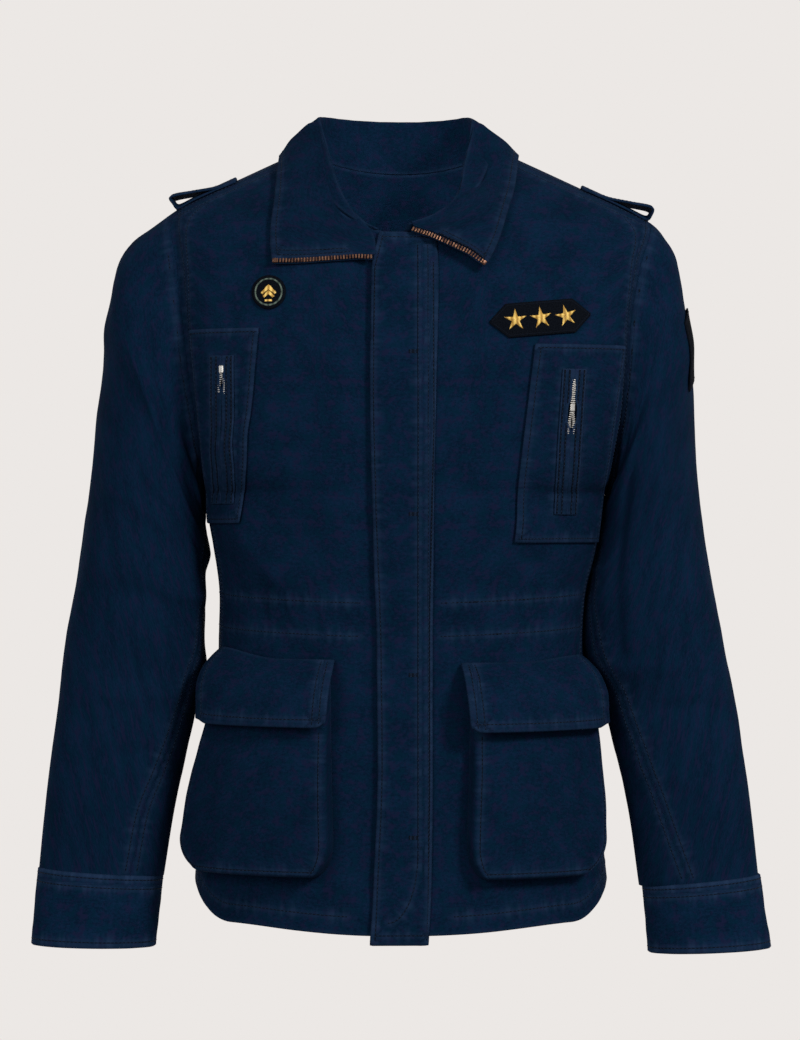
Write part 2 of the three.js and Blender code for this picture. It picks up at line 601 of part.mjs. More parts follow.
function collarSection(side, turn) {
  const rows = [...COLLAR[side], COLLAR_BACK];
  const value = (column) => read(rows, 'turn', column, turn);
  const x = NECK_HALF * Math.sin((turn * Math.PI) / 180);
  const face = turn < 90 ? FRONT : BACK;
  const base = torso(side, face, acrossAt(side, x, 0), topHeight(face, x));
  const inward = new THREE.Vector3(-base.x, NECK_MIDDLE - base.y, 0).normalize();
  base.addScaledVector(inward, WALL).add(new THREE.Vector3(0, 0, 2 * GAP));
  const fold = new THREE.Vector3(side * value('foldX'), value('foldY'), value('foldZ'));
  const lean = Math.hypot(fold.x - base.x, fold.y - base.y) / fold.distanceTo(base);
  base.z += WALL * lean;
  const edge = onTorso(side, face, value('edgeX'), value('edgeZ'), value('off'));
  const down = base.clone().sub(fold);
  const stand = down.length();
  down.normalize();
  const out = edge.clone().sub(fold);
  out.addScaledVector(down, -out.dot(down)).normalize();
  const deep = Math.min(ROLL.deep, stand * 0.4);
  const standTop = fold.clone().addScaledVector(down, deep);
  const crest = fold.clone().addScaledVector(out, ROLL.wide / 2);
  const leafTop = fold.clone().addScaledVector(out, ROLL.wide).addScaledVector(down, deep);
  const bulge = leafTop.clone().sub(base).normalize();
  const leaf = [0, 0.25, 0.5, 0.75].map((t) => {
    const point = leafTop.clone().lerp(edge, t).addScaledVector(bulge, COLLAR_BULGE * smooth(3 * t));
    const overFly = side === LEFT && turn < LEAF_CLEAR.flyTurn;
    return clearOfTorso(side, face, point, overFly ? LEAF_CLEAR.overFly : LEAF_CLEAR.plain);
  });
  return [base, base.clone().lerp(standTop, 0.5), standTop, crest, ...leaf, edge];
}

// The point, or one in front of the torso or behind it if it is nearer than that.
function clearOfTorso(side, face, point, off) {
  const x = Math.abs(point.x);
  if (point.z > topHeight(face, x)) return point;
  const surface = onTorso(side, face, x, point.z, off);
  if ((point.y - surface.y) * face < 0) point.setY(surface.y);
  return point;
}

// The collar's columns stand on the panels' own columns, so that both follow one neckline.
function collarGrid() {
  const behind = NECK_TURNS.slice(1, -1).map((turn) => 180 - turn).reverse();
  const right = [...NECK_TURNS.slice(1), ...behind];
  const left = [COLLAR_START, ...right];
  return gridFrom([
    ...right.map((turn) => collarSection(RIGHT, turn)),
    collarSection(RIGHT, 180),
    ...left.reverse().map((turn) => collarSection(LEFT, turn)),
  ]);
}

// The zip's two halves, along the collar's front ends.
function zipGrid(collar, side) {
  const end = side === RIGHT ? 0 : collar[0].length - 1;
  const beside = side === RIGHT ? 1 : end - 1;
  return collar.slice(4).map((line, k) => {
    const row = collar[k + 3];
    const along = (collar[k + 5] ?? line)[end].clone().sub(row[end]);
    const out = line[end].clone().sub(line[beside]);
    out.addScaledVector(along, -out.dot(along) / along.lengthSq()).normalize();
    const near = line[end].clone().addScaledVector(out, GAP);
    const far = near.clone().addScaledVector(out, ZIP.width);
    return side === RIGHT ? [far, near] : [near, far];
  });
}

function addCollar() {
  const collar = collarGrid();
  addPiece('collar', wall(collar, {}), NAVY);
  for (const side of [RIGHT, LEFT]) {
    const zip = wall(zipGrid(collar, side), { thickness: ZIP.wall });
    addPiece(`collar_zip_${sideName(side)}`, zip, BRASS, 0.4, 1);
  }
}

// ---- Fly ----

const steps = (count) => Array.from({ length: count + 1 }, (_, k) => k / count);

function addFly() {
  const first = FLY[0].z;
  const last = FLY.at(-1).z;
  const grid = steps(18).map((t) => {
    const z = mix(last, first, t);
    const right = read(FLY, 'z', 'right', z);
    const left = read(FLY, 'z', 'left', z);
    return steps(4).map((s) => {
      const x = mix(right, left, s);
      const off = WALL + FLY_OFF + FLY_STAND * (1 - s);
      return onTorso(x < 0 ? RIGHT : LEFT, FRONT, Math.abs(x), z, off);
    });
  });
  addPiece('fly', wall(grid, {}), NAVY);
}

// ---- Pockets ----

// A distance from the middle between two others, evenly round the torso's side.
function roundSide(side, z, x1, x2, t) {
  return halfWidth(side, z) * sine(mix(acrossAt(side, x1, z), acrossAt(side, x2, z), t));
}

function addChestPocket(side) {
  const { rows, slot } = CHEST[side];
  const name = sideName(side);
  const top = rows[0].z;
  const bottom = rows.at(-1).z;
  const middle = (z) => mix(slot.middleTop, slot.middleBottom, (z - slot.top) / (slot.bottom - slot.top));
  const heights = [bottom, ...steps(6).map((t) => mix(slot.bottom, slot.top, t)), top];
  const patch = heights.map((z) => {
    const inner = read(rows, 'z', 'inner', z);
    const outer = read(rows, 'z', 'outer', z);
    const [near, far] = [middle(z) - slot.half, middle(z) + slot.half];
    const beyond = [0.25, 0.5, 0.75, 1].map((t) => roundSide(side, z, far, outer, t));
    const across = [inner, mix(inner, near, 0.5), near, far, ...beyond];
    return across.map((x) => onTorso(side, FRONT, x, z, CHEST_OFF));
  });
  const inSlot = (i, j) => j === 2 && i > 0 && i < heights.length - 2;
  addPiece(`chest_pocket_${name}`, wall(patch, { way: side, keep: (i, j) => !inSlot(i, j) }), NAVY_DARK);

  const ends = [slot.bottom - WELT.border, ...heights.slice(1, -1), slot.top + WELT.border];
  const welt = ends.map((z) => {
    const edges = [-slot.half - WELT.border, -slot.half, slot.half, slot.half + WELT.border];
    return edges.map((x) => onTorso(side, FRONT, middle(z) + x, z, CHEST_OFF + WELT.off + WELT.wall));
  });
  const inWelt = (i, j) => j === 1 && i > 0 && i < ends.length - 2;
  const frame = wall(welt, { way: side, thickness: WELT.wall, keep: (i, j) => !inWelt(i, j) });
  addPiece(`chest_welt_${name}`, frame, NAVY);

  const half = slot.half - GAP;
  const zip = heights.slice(1, -1).map((z, k, all) => {
    const clear = k === 0 ? GAP : k === all.length - 1 ? -GAP : 0;
    return [-half, half].map((x) => onTorso(side, FRONT, middle(z) + x, z + clear, CHEST_OFF));
  });
  addPiece(`chest_zip_${name}`, wall(zip, { way: side }), STEEL, 0.35, 1);
}

function addBag(side) {
  const bag = BAGS[side];
  const height = bag.top - bag.bottom;
  const low = [0, BAG.lip, 0.35 * BAG.corner, BAG.corner].map((up) => 1 - up / height);
  const grid = [...low, ...BAG.downs].map((down, i) => {
    const z = mix(bag.top, bag.bottom, down);
    const aboveBottom = (1 - down) * height;
    const rise = Math.max(0, BAG.corner - aboveBottom);
    const round = BAG.corner - Math.sqrt(BAG.corner ** 2 - rise ** 2);
    const inner = mix(bag.innerTop, bag.innerBottom, down) + round * BAG.innerCut;
    const outer = mix(bag.outerTop, bag.outerBottom, down) - round * BAG.outerCut;
    const face = mix(BAG.mouth, bag.face, smooth(down * 1.5));
    return BAG.columns.map((s, j) => {
      const border = i === 0 || j === 0 || j === BAG.columns.length - 1;
      const pillow = BAG.pillow * Math.sin(s * Math.PI) * Math.sin(Math.min(1, down + 0.3) * Math.PI);
      return onTorso(side, FRONT, mix(inner, outer, s), z, border ? BAG.seam : face + pillow);
    });
  });
  addPiece(`pocket_bag_${sideName(side)}`, wall(grid, { way: side }), NAVY_DARK);
}

function addFlap(side) {
  const flap = FLAPS[side];
  const grid = [...FLAP_LIFTS].reverse().map(({ down, lift }) => {
    const inner = mix(flap.innerTop, flap.innerBottom, down);
    const outer = mix(flap.outerTop, flap.outerBottom, down);
    return steps(7).map((s) => {
      const z = mix(flap.top + flap.rise * smooth((s - 0.5) * 2), flap.bottom, down);
      return onTorso(side, FRONT, mix(inner, outer, s), z, lift + WALL + PATCH_OFF);
    });
  });
  addPiece(`pocket_flap_${sideName(side)}`, wall(grid, { way: side }), NAVY);
}

// ---- Shoulder loops ----

// A point over the shoulder seam, so far before or behind it and above the cloth.
function onShoulder(side, x, aside, off) {
  const surface = (atX, atAside) => {
    const top = ridge(atX);
    const edge = atAside < 0 ? TORSO[0].edgeFront : TORSO[0].edgeBack;
    const full = mix(edge, SHOULDER.depth, cosine(acrossAt(side, atX, 0)));
    const share = Math.abs(atAside) / (full + top.y);
    const down = 1 - Math.sqrt(1 - share ** (1 / crown(atX)));
    return new THREE.Vector3(side * atX, top.y + atAside, top.z - down * ROLL_OFF.side);
  };
  const along = surface(x + 1, aside).sub(surface(x - 1, aside));
  const across = surface(x, aside + 2).sub(surface(x, aside - 2));
  const up = along.cross(across).multiplyScalar(side).normalize();
  return surface(x, aside).addScaledVector(up, off);
}

function addLoop(side) {
  const { start, closed, turn } = LOOPS[side];
  const under = LOOP_OFF;
  const over = under + LOOP.wall + GAP;
  const open = under + LOOP.wall + LOOP.opening;
  const path = [
    { x: start, off: under, flatter: 0 },
    { x: mix(start, turn, 0.35), off: under, flatter: 0 },
    { x: mix(start, turn, 0.7), off: under, flatter: 0 },
    { x: turn - 2, off: under, flatter: 0 },
    { x: turn + 1, off: mix(under, open + LOOP.wall, 0.5), flatter: LOOP.flatter / 2 },
    { x: turn - 2, off: open + LOOP.wall, flatter: LOOP.flatter },
    { x: mix(closed, turn, 0.4), off: open + LOOP.wall, flatter: LOOP.flatter },
    { x: closed, off: over + LOOP.wall + 1, flatter: LOOP.flatter / 2 },
    { x: start, off: over + LOOP.wall, flatter: 0 },
  ];
  const across = steps(6).map((s) => mix(-LOOP.half, LOOP.half, s));
  const grid = path.map(({ x, off, flatter }) => across.map((aside) => {
    const point = onShoulder(side, x, aside, off);
    const raised = onShoulder(side, x, 0, off).z - point.z;
    return point.setZ(point.z + raised * flatter);
  }));
  addPiece(`shoulder_loop_${sideName(side)}`, wall(grid, { way: side, thickness: LOOP.wall }), NAVY);
}

// ---- Badge, patches and stars ----

function addBadge() {
  const { side, x, z, radius } = BADGE;
  const grid = [-1, -0.8, -0.4, 0, 0.4, 0.8, 1].map((up) => {
    const half = Math.max(BADGE.flat, Math.sqrt(1 - up * up)) * radius;
    const across = steps(6).map((s) => x + mix(-half, half, s));
    return across.map((place) => onTorso(side, FRONT, place, z + up * radius, BADGE.off));
  });
  addPiece('badge', wall(grid, { way: side, thickness: THIN }), FELT_BLACK);
}

// A place on the star patch, from its own middle, along it and up it.
function onStarPatch(along, up, off) {
  const tilt = (STAR_PATCH.tilt * Math.PI) / 180;
  const x = STAR_PATCH.x + along * Math.cos(tilt) - up * Math.sin(tilt);
  const z = STAR_PATCH.z + along * Math.sin(tilt) + up * Math.cos(tilt);
  return onTorso(STAR_PATCH.side, FRONT, x, z, off);
}

function addStarPatch() {
  const grid = [-1, -0.5, 0, 0.5, 1].map((up) => {
    const half = mix(STAR_PATCH.long, STAR_PATCH.shoulder, Math.abs(up));
    return steps(8).map((s) => onStarPatch(mix(-half, half, s), up * STAR_PATCH.short, THIN + PATCH_OFF));
  });
  addPiece('star_patch', wall(grid, { thickness: THIN }), FELT_BLACK);
  [-1, 0, 1].forEach((place) => {
    const base = THIN + PATCH_OFF + GAP;
    const around = steps(9).map((_, k) => {
      const radius = STAR.radius * (k % 2 === 0 ? 1 : STAR.waist);
      const turn = (k * Math.PI) / 5;
      return [place * STAR.spacing - radius * Math.sin(turn), radius * Math.cos(turn)];
    });
    const flat = (off) => [[place * STAR.spacing, 0], ...around].map(([a, u]) => onStarPatch(a, u, off));
    const positions = [...flat(base + THIN), ...flat(base)].flatMap((point) => point.toArray());
    const count = around.length + 1;
    const index = around.flatMap((_, k) => {
      const [here, next] = [k + 1, ((k + 1) % around.length) + 1];
      const [below, belowNext] = [count + here, count + next];
      const faces = [0, next, here, count, below, belowNext];
      return [...faces, here, next, belowNext, here, belowNext, below];
    });
    addPiece(`star_${place + 2}`, compact(positions, index.reverse()), GOLD, 0.5, 0.3);
  });
}

function onSleeve(side, ring, turn, off) {
  const along = sleeve(side, ring + 0.05, turn).sub(sleeve(side, ring - 0.05, turn));
  const round = sleeve(side, ring, turn + 0.05).sub(sleeve(side, ring, turn - 0.05));
  const out = round.cross(along).multiplyScalar(side).normalize();
  return sleeve(side, ring, turn).addScaledVector(out, off);
}

function addSleevePatch() {
  const { side, ring1, ring2, around1, around2 } = SLEEVE_PATCH;
  const grid = steps(3).map((t) => steps(4).map((s) => {
    const turn = (mix(around1, around2, s) * Math.PI) / 180;
    return onSleeve(side, mix(ring1, ring2, t), turn, THIN + PATCH_OFF);
  }));
  addPiece('sleeve_patch', wall(grid, { way: side, thickness: THIN }), FELT_BLACK);
}

addShell();
addCollar();
addFly();
for (const side of [RIGHT, LEFT]) {
  addChestPocket(side);
  addBag(side);
  addFlap(side);
  addLoop(side);
}
addBadge();
addStarPatch();
addSleevePatch();

export default jacket;
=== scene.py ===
import math
from functools import partial

import bpy
import numpy as np
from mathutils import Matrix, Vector


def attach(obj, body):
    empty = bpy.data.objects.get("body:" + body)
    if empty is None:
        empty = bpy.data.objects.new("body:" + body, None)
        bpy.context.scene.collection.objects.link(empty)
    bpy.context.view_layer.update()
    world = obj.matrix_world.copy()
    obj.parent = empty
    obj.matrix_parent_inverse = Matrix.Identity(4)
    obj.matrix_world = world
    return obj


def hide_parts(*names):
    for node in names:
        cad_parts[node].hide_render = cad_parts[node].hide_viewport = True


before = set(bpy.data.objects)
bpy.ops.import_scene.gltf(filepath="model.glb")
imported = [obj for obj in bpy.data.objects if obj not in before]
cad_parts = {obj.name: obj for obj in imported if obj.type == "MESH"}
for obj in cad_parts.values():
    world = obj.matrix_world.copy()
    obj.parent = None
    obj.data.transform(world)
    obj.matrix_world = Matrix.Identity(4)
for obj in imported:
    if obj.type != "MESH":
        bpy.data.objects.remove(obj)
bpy.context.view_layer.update()        # a safari jacket, filled out as if worn

# All shapes are worked out in millimetres and become metres when a mesh is made.
# +Z is up, the front faces -Y, and the wearer's right is at -X.
metre = 0.001
right, left = -1, 1
front, back = -1, 1
sideNames = {right: "right", left: "left"}
fineness = 1.0


# Sums that the pieces share
def mix(a, b, t):
    return a + (b - a) * t


def smooth(t):
    s = np.clip(t, 0, 1)
    return s * s * (3 - 2 * s)


def readTable(rows, key, column, at):  # a column between its rows, as a curve that never overshoots
    xs = np.array([row[key] for row in rows], float)
    ys = np.array([row[column] for row in rows], float)
    if xs[0] > xs[-1]:
        xs, ys = xs[::-1], ys[::-1]
    slopes = np.diff(ys) / np.diff(xs)
    tangents = np.empty_like(ys)
    tangents[0], tangents[-1] = slopes[0], slopes[-1]
    before, after = slopes[:-1], slopes[1:]
    same = before * after > 0
    tangents[1:-1] = np.where(same, 2 * before * after / np.where(same, before + after, 1), 0)
    within = np.clip(at, xs[0], xs[-1])
    k = np.clip(np.searchsorted(xs, within, side="right") - 1, 0, len(xs) - 2)
    step = xs[k + 1] - xs[k]
    t = (within - xs[k]) / step
    start = (1 + 2 * t) * (1 - t) ** 2 * ys[k] + t * (1 - t) ** 2 * step * tangents[k]
    return start + t * t * (3 - 2 * t) * ys[k + 1] + t * t * (t - 1) * step * tangents[k + 1]


def asRows(columns, shapes):  # a short table as rows with named columns
    return [dict(zip(columns, shape)) for shape in shapes]


def alongLine(values, run, at):  # a line's points or directions, read at lengths along it
    return np.stack([np.interp(at, run, values[:, k]) for k in range(3)], -1)


def lengthsAlong(line):
    return np.concatenate([[0], np.cumsum(np.linalg.norm(np.diff(line, axis=0), axis=1))])


def creaseLift(creases, u, v):  # each crease is a soft ridge or trough along a line from 1 to 2
    total = np.zeros(np.broadcast(u, v).shape)
    for u1, v1, u2, v2, width, lift in creases:
        du, dv = u2 - u1, v2 - v1
        along = np.clip(((u - u1) * du + (v - v1) * dv) / (du * du + dv * dv), 0, 1)
        away = np.hypot(u - u1 - du * along, v - v1 - dv * along)
        total = total + lift * np.exp(-((away / width) ** 2))
    return total


hills = {"seed": 11, "size": 97}
hillHeights = np.random.default_rng(hills["seed"]).uniform(-1, 1, (hills["size"], hills["size"]))


def unevenness(u, v, wrap=hills["size"]):  # soft uneven ground, one hill or dip a unit
    def hillAt(a, b):
        return hillHeights[(a % wrap) % hills["size"], b % hills["size"]]

    i, j = np.floor(u).astype(int), np.floor(v).astype(int)
    fu, fv = smooth(u - i), smooth(v - j)
    low = mix(hillAt(i, j), hillAt(i + 1, j), fu)
    return mix(low, mix(hillAt(i, j + 1), hillAt(i + 1, j + 1), fu), fv)


def unit(vectors):
    return vectors / np.maximum(np.linalg.norm(vectors, axis=-1, keepdims=True), 1e-9)


def gridNormals(grid, way=1, ring=False):  # outwards where columns run anticlockwise seen from above
    if ring:
        across = np.roll(grid, -1, 1) - np.roll(grid, 1, 1)
    else:
        across = np.gradient(grid, axis=1)
    return unit(np.cross(across, np.gradient(grid, axis=0)) * way)


def curveThrough(points, count):  # a smooth curve through a few rows of points, evenly spaced
    points = np.asarray(points, float)  # rows, columns, xyz
    padded = np.concatenate([2 * points[:1] - points[1:2], points, 2 * points[-1:] - points[-2:-1]])
    pieces = []
    for k in range(len(points) - 1):
        p0, p1, p2, p3 = padded[k:k + 4]
        for t in np.linspace(0, 1, 12, endpoint=False):
            pieces.append(0.5 * (2 * p1 + (p2 - p0) * t + (2 * p0 - 5 * p1 + 4 * p2 - p3) * t * t
                                 + (3 * p1 - p0 - 3 * p2 + p3) * t ** 3))
    fine = np.array(pieces + [points[-1]])
    run = np.concatenate([np.zeros((1,) + fine.shape[1:-1]),
                          np.cumsum(np.linalg.norm(np.diff(fine, axis=0), axis=-1), axis=0)])
    share = np.linspace(0, 1, count)
    out = np.empty((count,) + fine.shape[1:])
    for column in range(fine.shape[1]):
        wanted = share * run[-1, column]
        for axis in range(3):
            out[:, column, axis] = np.interp(wanted, run[:, column], fine[:, column, axis])
    return out


# The form of fronts and back
bodyForm = {
    "neckHalf": 82, "neckMiddle": 10, "neckHeight": 12.3, "neckFront": -73, "neckBack": -6,
    "slope": 0.47, "forward": 60, "neckCrown": 0.8, "sideCrown": 0.52, "crownReach": 110, "depth": 115,
    "rollFront": 238, "rollBack": 112, "rollSide": 190, "rollReach": 110,
    "squareness": 2.4, "armpit": -300, "hemMiddle": -683, "hemShelf": 8, "hemSide": 32, "hemTurn": 0.55,
    "centreFront": 4, "panelWidth": 260,
}

# Sections from the neck down: half widths, depths in the middle, and where the armholes end
torsoSections = [
    {"z": 10, "right": 199, "left": 222, "front": 118, "back": 112, "edgeFront": 74, "edgeBack": 80},
    {"z": -56, "right": 198, "left": 222, "front": 118, "back": 112, "edgeFront": 74, "edgeBack": 80},
    {"z": -100, "right": 191, "left": 209, "front": 118, "back": 112, "edgeFront": 73, "edgeBack": 80},
    {"z": -160, "right": 185, "left": 200, "front": 119, "back": 113, "edgeFront": 69, "edgeBack": 77},
    {"z": -230, "right": 178, "left": 195, "front": 121, "back": 112, "edgeFront": 59, "edgeBack": 65},
    {"z": -270, "right": 175, "left": 189, "front": 121, "back": 109, "edgeFront": 42, "edgeBack": 46},
    {"z": -290, "right": 174.5, "left": 186, "front": 120, "back": 107, "edgeFront": 22, "edgeBack": 24},
    {"z": -300, "right": 174, "left": 184, "front": 119, "back": 106, "edgeFront": 0, "edgeBack": 0},
    {"z": -345, "right": 167.5, "left": 178, "front": 115, "back": 100, "edgeFront": 0, "edgeBack": 0},
    {"z": -396, "right": 162.5, "left": 167, "front": 109, "back": 94, "edgeFront": 0, "edgeBack": 0},
    {"z": -436, "right": 162.5, "left": 165, "front": 108, "back": 93, "edgeFront": 0, "edgeBack": 0},
    {"z": -500, "right": 171, "left": 171, "front": 112, "back": 99, "edgeFront": 0, "edgeBack": 0},
    {"z": -600, "right": 181, "left": 182, "front": 118, "back": 108, "edgeFront": 0, "edgeBack": 0},
    {"z": -690, "right": 187, "left": 190, "front": 122, "back": 114, "edgeFront": 0, "edgeBack": 0},
]

# Creases: x1, z1, x2, z2, width, lift
frontCreases = [
    (-30, -110, -27, -640, 15, -3.5), (-52, -130, -60, -420, 20, 2.5), (74, -150, 60, -300, 17, -3),
    (104, -330, 60, -400, 20, 3), (-150, -325, -80, -385, 20, 3.5),
]
backCreases = [
    (-120, -120, -140, -330, 20, 4), (128, -110, 140, -350, 22, 5), (-70, -360, 50, -385, 20, 4),
    (30, -470, 60, -640, 26, 4), (-60, -480, -50, -650, 24, -4),
]
frontFineCreases = [
    (-31, -95, -30, -165, 6, -3), (-34, -170, -29, -330, 8, -2), (44, -391, 45, -416, 2.4, -1.4),
    (85, -400, 86, -420, 2.6, -1.4), (64, -396, 66, -414, 3, 1.0), (-67, -400, -64, -420, 3, 1.3),
    (-50, -402, -47, -424, 3, -1.3), (-38, -402, -33, -430, 3, -1.2), (-96, -396, -92, -412, 3, 1.0),
    (-120, -392, -118, -410, 3.4, -1.2), (110, -394, 113, -416, 3.4, 1.1), (106, -22, 176, -64, 5, 2.4),
    (113, -36, 162, -66, 4, -2.0), (122, -52, 152, -84, 6, 1.6), (-150, -180, -146, -150, 6, -1.4),
    (-96, -34, -150, -64, 6, 1.5), (-60, -200, -150, -262, 13, 2.2), (44, -230, 92, -330, 14, 2.4),
    (-140, -340, -110, -374, 9, 2.6), (112, -356, 148, -384, 9, -2.4), (-110, -432, -140, -444, 7, 1.8),
    (40, -440, 62, -462, 7, 1.6),
    (36, -480, 44, -600, 8, -1.8), (-48, -640, -120, -652, 8, 1.6), (70, -650, 140, -640, 9, 1.5),
]
backFineCreases = [
    (-90, -60, -30, -90, 12, 2.0), (96, -66, 40, -96, 12, 2.0), (-140, -170, -132, -300, 9, -2.6),
    (138, -170, 134, -290, 9, -2.6), (-40, -392, -38, -416, 3, -1.3), (-86, -392, -90, -414, 3.4, 1.2),
    (30, -394, 33, -420, 3, 1.2), (78, -390, 76, -414, 3, -1.3), (120, -390, 124, -416, 3.6, 1.3),
    (-150, -340, -90, -384, 10, 2.4), (140, -350, 70, -380, 11, -2.0), (10, -200, -24, -330, 16, 2.2),
    (-110, -430, -140, -520, 12, -2.4), (100, -430, 128, -540, 13, 2.2), (0, -440, 12, -560, 13, -2.2),
]


def halfWidth(side, z):
    return np.where(np.asarray(side) < 0, readTable(torsoSections, "z", "right", z),
                    readTable(torsoSections, "z", "left", z))


def sine(across):
    return np.sin(np.clip(across, 0, 1) * math.pi / 2) ** (2 / bodyForm["squareness"])


def cosine(across):
    return np.maximum(0, np.cos(across * math.pi / 2)) ** (2 / bodyForm["squareness"])


def acrossAt(side, x, z):  # how far across a panel, from its middle to its side, a distance lies
    share = np.clip(x / halfWidth(side, z), 0, 1)
    return np.arcsin(share ** (bodyForm["squareness"] / 2)) * 2 / math.pi


def ridge(x):  # the line of the shoulders, carried on over the neck as an arch
    form = bodyForm
    past = np.maximum(0, x - form["neckHalf"])
    arch = np.maximum(0, form["neckHalf"] ** 2 - np.square(x)) / (2 * form["neckHalf"])
    y = form["neckMiddle"] * np.exp(-past / form["forward"])
    return y, form["neckHeight"] + form["slope"] * (arch - past)


def crown(x):
    share = smooth((x - bodyForm["neckHalf"]) / bodyForm["crownReach"])
    return mix(bodyForm["neckCrown"], bodyForm["sideCrown"], share)


def topHeight(face, x):  # the neckline, then the shoulder seam
    turn = np.sqrt(np.maximum(0, 1 - (x / bodyForm["neckHalf"]) ** 2))
    dip = bodyForm["neckFront"] if face == front else bodyForm["neckBack"]
    return np.where(x >= bodyForm["neckHalf"], ridge(x)[1], mix(bodyForm["neckHeight"], dip, turn))


def topOf(side, face, across):
    return topHeight(face, halfWidth(side, 0.0) * sine(across))


def hemOf(across):
    form = bodyForm
    rise = smooth((across - form["hemTurn"]) / (1 - form["hemTurn"]))
    return form["hemMiddle"] + form["hemShelf"] * smooth(across / form["hemTurn"]) + form["hemSide"] * rise


def spread(*values):  # numbers and arrays, brought to one shape
    return np.broadcast_arrays(*(np.asarray(v, float) for v in values))


def torsoPoint(side, face, across, z, fine=True):
    side, across, z = spread(side, across, z)
    form = bodyForm
    ridgeX = halfWidth(side, 0.0) * sine(across)
    topY, topZ = ridge(ridgeX)
    depth = readTable(torsoSections, "z", "front" if face == front else "back", z)
    edge = readTable(torsoSections, "z", "edgeFront" if face == front else "edgeBack", z)
    x = halfWidth(side, z) * sine(across)
    full = face * mix(edge, depth, cosine(across))
    reach = mix(form["rollFront"] if face == front else form["rollBack"], form["rollSide"],
                smooth(x / form["rollReach"]))
    down = np.clip((topZ - z) / reach, 0, 1)
    rolled = mix(topY, full, (1 - (1 - down) ** 2) ** crown(ridgeX))
    lift = creaseLift(frontCreases if face == front else backCreases, side * x, z)
    if fine:
        lift = lift + creaseLift(frontFineCreases if face == front else backFineCreases, side * x, z)
        around = side * (across if face == front else 2 - across) * form["panelWidth"]
        lift = lift + 0.9 * unevenness(around / 65, z / 90, 16)
        lift = lift + 0.45 * unevenness(around / 26, z / 36 + 5, 40)
        lift = lift + 0.16 * unevenness(around / 13, z / 13 + 31, 80)
    lift = lift * smooth(down * 2)
    turn = across * math.pi / 2
    return np.stack([side * (x + lift * np.sin(turn)), rolled + face * lift * np.cos(turn), z + 0 * x], -1)


# Meshes of cloth
def borderLoop(rows, columns, ring):  # the free edges, as index lists with the cloth on their left
    def at(i, j):
        return i * columns + j % columns

    if ring:
        return [[at(0, j) for j in range(columns)], [at(rows - 1, j) for j in range(columns)][::-1]]
    bottom = [at(0, j) for j in range(columns - 1)]
    rightEdge = [at(i, columns - 1) for i in range(rows - 1)]
    top = [at(rows - 1, j) for j in range(columns - 1, 0, -1)]
    leftEdge = [at(i, 0) for i in range(rows - 1, 0, -1)]
    return [bottom + rightEdge + top + leftEdge]


def gridRuns(grid):  # the lengths along each row and each column, for the weave
    u = np.zeros(grid.shape[:2])
    v = np.zeros(grid.shape[:2])
    u[:, 1:] = np.cumsum(np.linalg.norm(np.diff(grid, axis=1), axis=-1), axis=1)
    v[1:] = np.cumsum(np.linalg.norm(np.diff(grid, axis=0), axis=-1), axis=0)
    return u - u[:, u.shape[1] // 2][:, None], v


seamReach = 30.0  # past this, a seam doesn't mark the cloth


def nearestRow(points, rows, reach=seamReach):  # how far the nearest row of stitches is, and where along it
    distance = np.full(len(points), reach)
    runAlong = np.zeros(len(points))
    for order, line in enumerate(rows):
        line = np.asarray(line, float)
        low, high = line.min(0) - reach, line.max(0) + reach
        near = np.nonzero(np.all((points > low) & (points < high), axis=1))[0]
        if len(near) == 0:
            continue
        starts, spans = line[:-1], np.diff(line, axis=0)
        lengths = np.linalg.norm(spans, axis=1)
        runs = lengthsAlong(line)[:-1]
        for some in np.array_split(near, max(1, len(near) * len(starts) // 4000000 + 1)):
            away = points[some][:, None] - starts[None]
            t = np.clip((away * spans).sum(-1) / np.maximum(lengths ** 2, 1e-9), 0, 1)
            gap = np.linalg.norm(away - spans * t[..., None], axis=-1)
            best = gap.argmin(1)
            pick = np.arange(len(some))
            closer = gap[pick, best] < distance[some]
            chosen = some[closer]
            distance[chosen] = gap[pick, best][closer]
            runAlong[chosen] = (runs[best] + t[pick, best] * lengths[best])[closer] + order * 37.0
    return distance, runAlong


def makeMesh(name, verts, faces, smoothed=True):
    mesh = bpy.data.meshes.new(name)
    mesh.from_pydata((np.asarray(verts) * metre).tolist(), [], faces)
    mesh.update()
    if smoothed:
        mesh.polygons.foreach_set("use_smooth", [True] * len(mesh.polygons))
    piece = bpy.data.objects.new(name, mesh)
    bpy.context.scene.collection.objects.link(piece)
    return piece


def setPoints(mesh, name, values):
    layer = mesh.attributes.new(name, "FLOAT", "POINT")
    layer.data.foreach_set("value", np.asarray(values, np.float32))


def layWeave(mesh, flat):  # a UV map that follows the cloth, from each point's place on it laid flat
    corners = np.empty(len(mesh.loops), int)
    mesh.loops.foreach_get("vertex_index", corners)
    layer = mesh.uv_layers.new(name="weave")
    layer.data.foreach_set("uv", (flat * metre)[corners].astype(np.float32).reshape(-1))


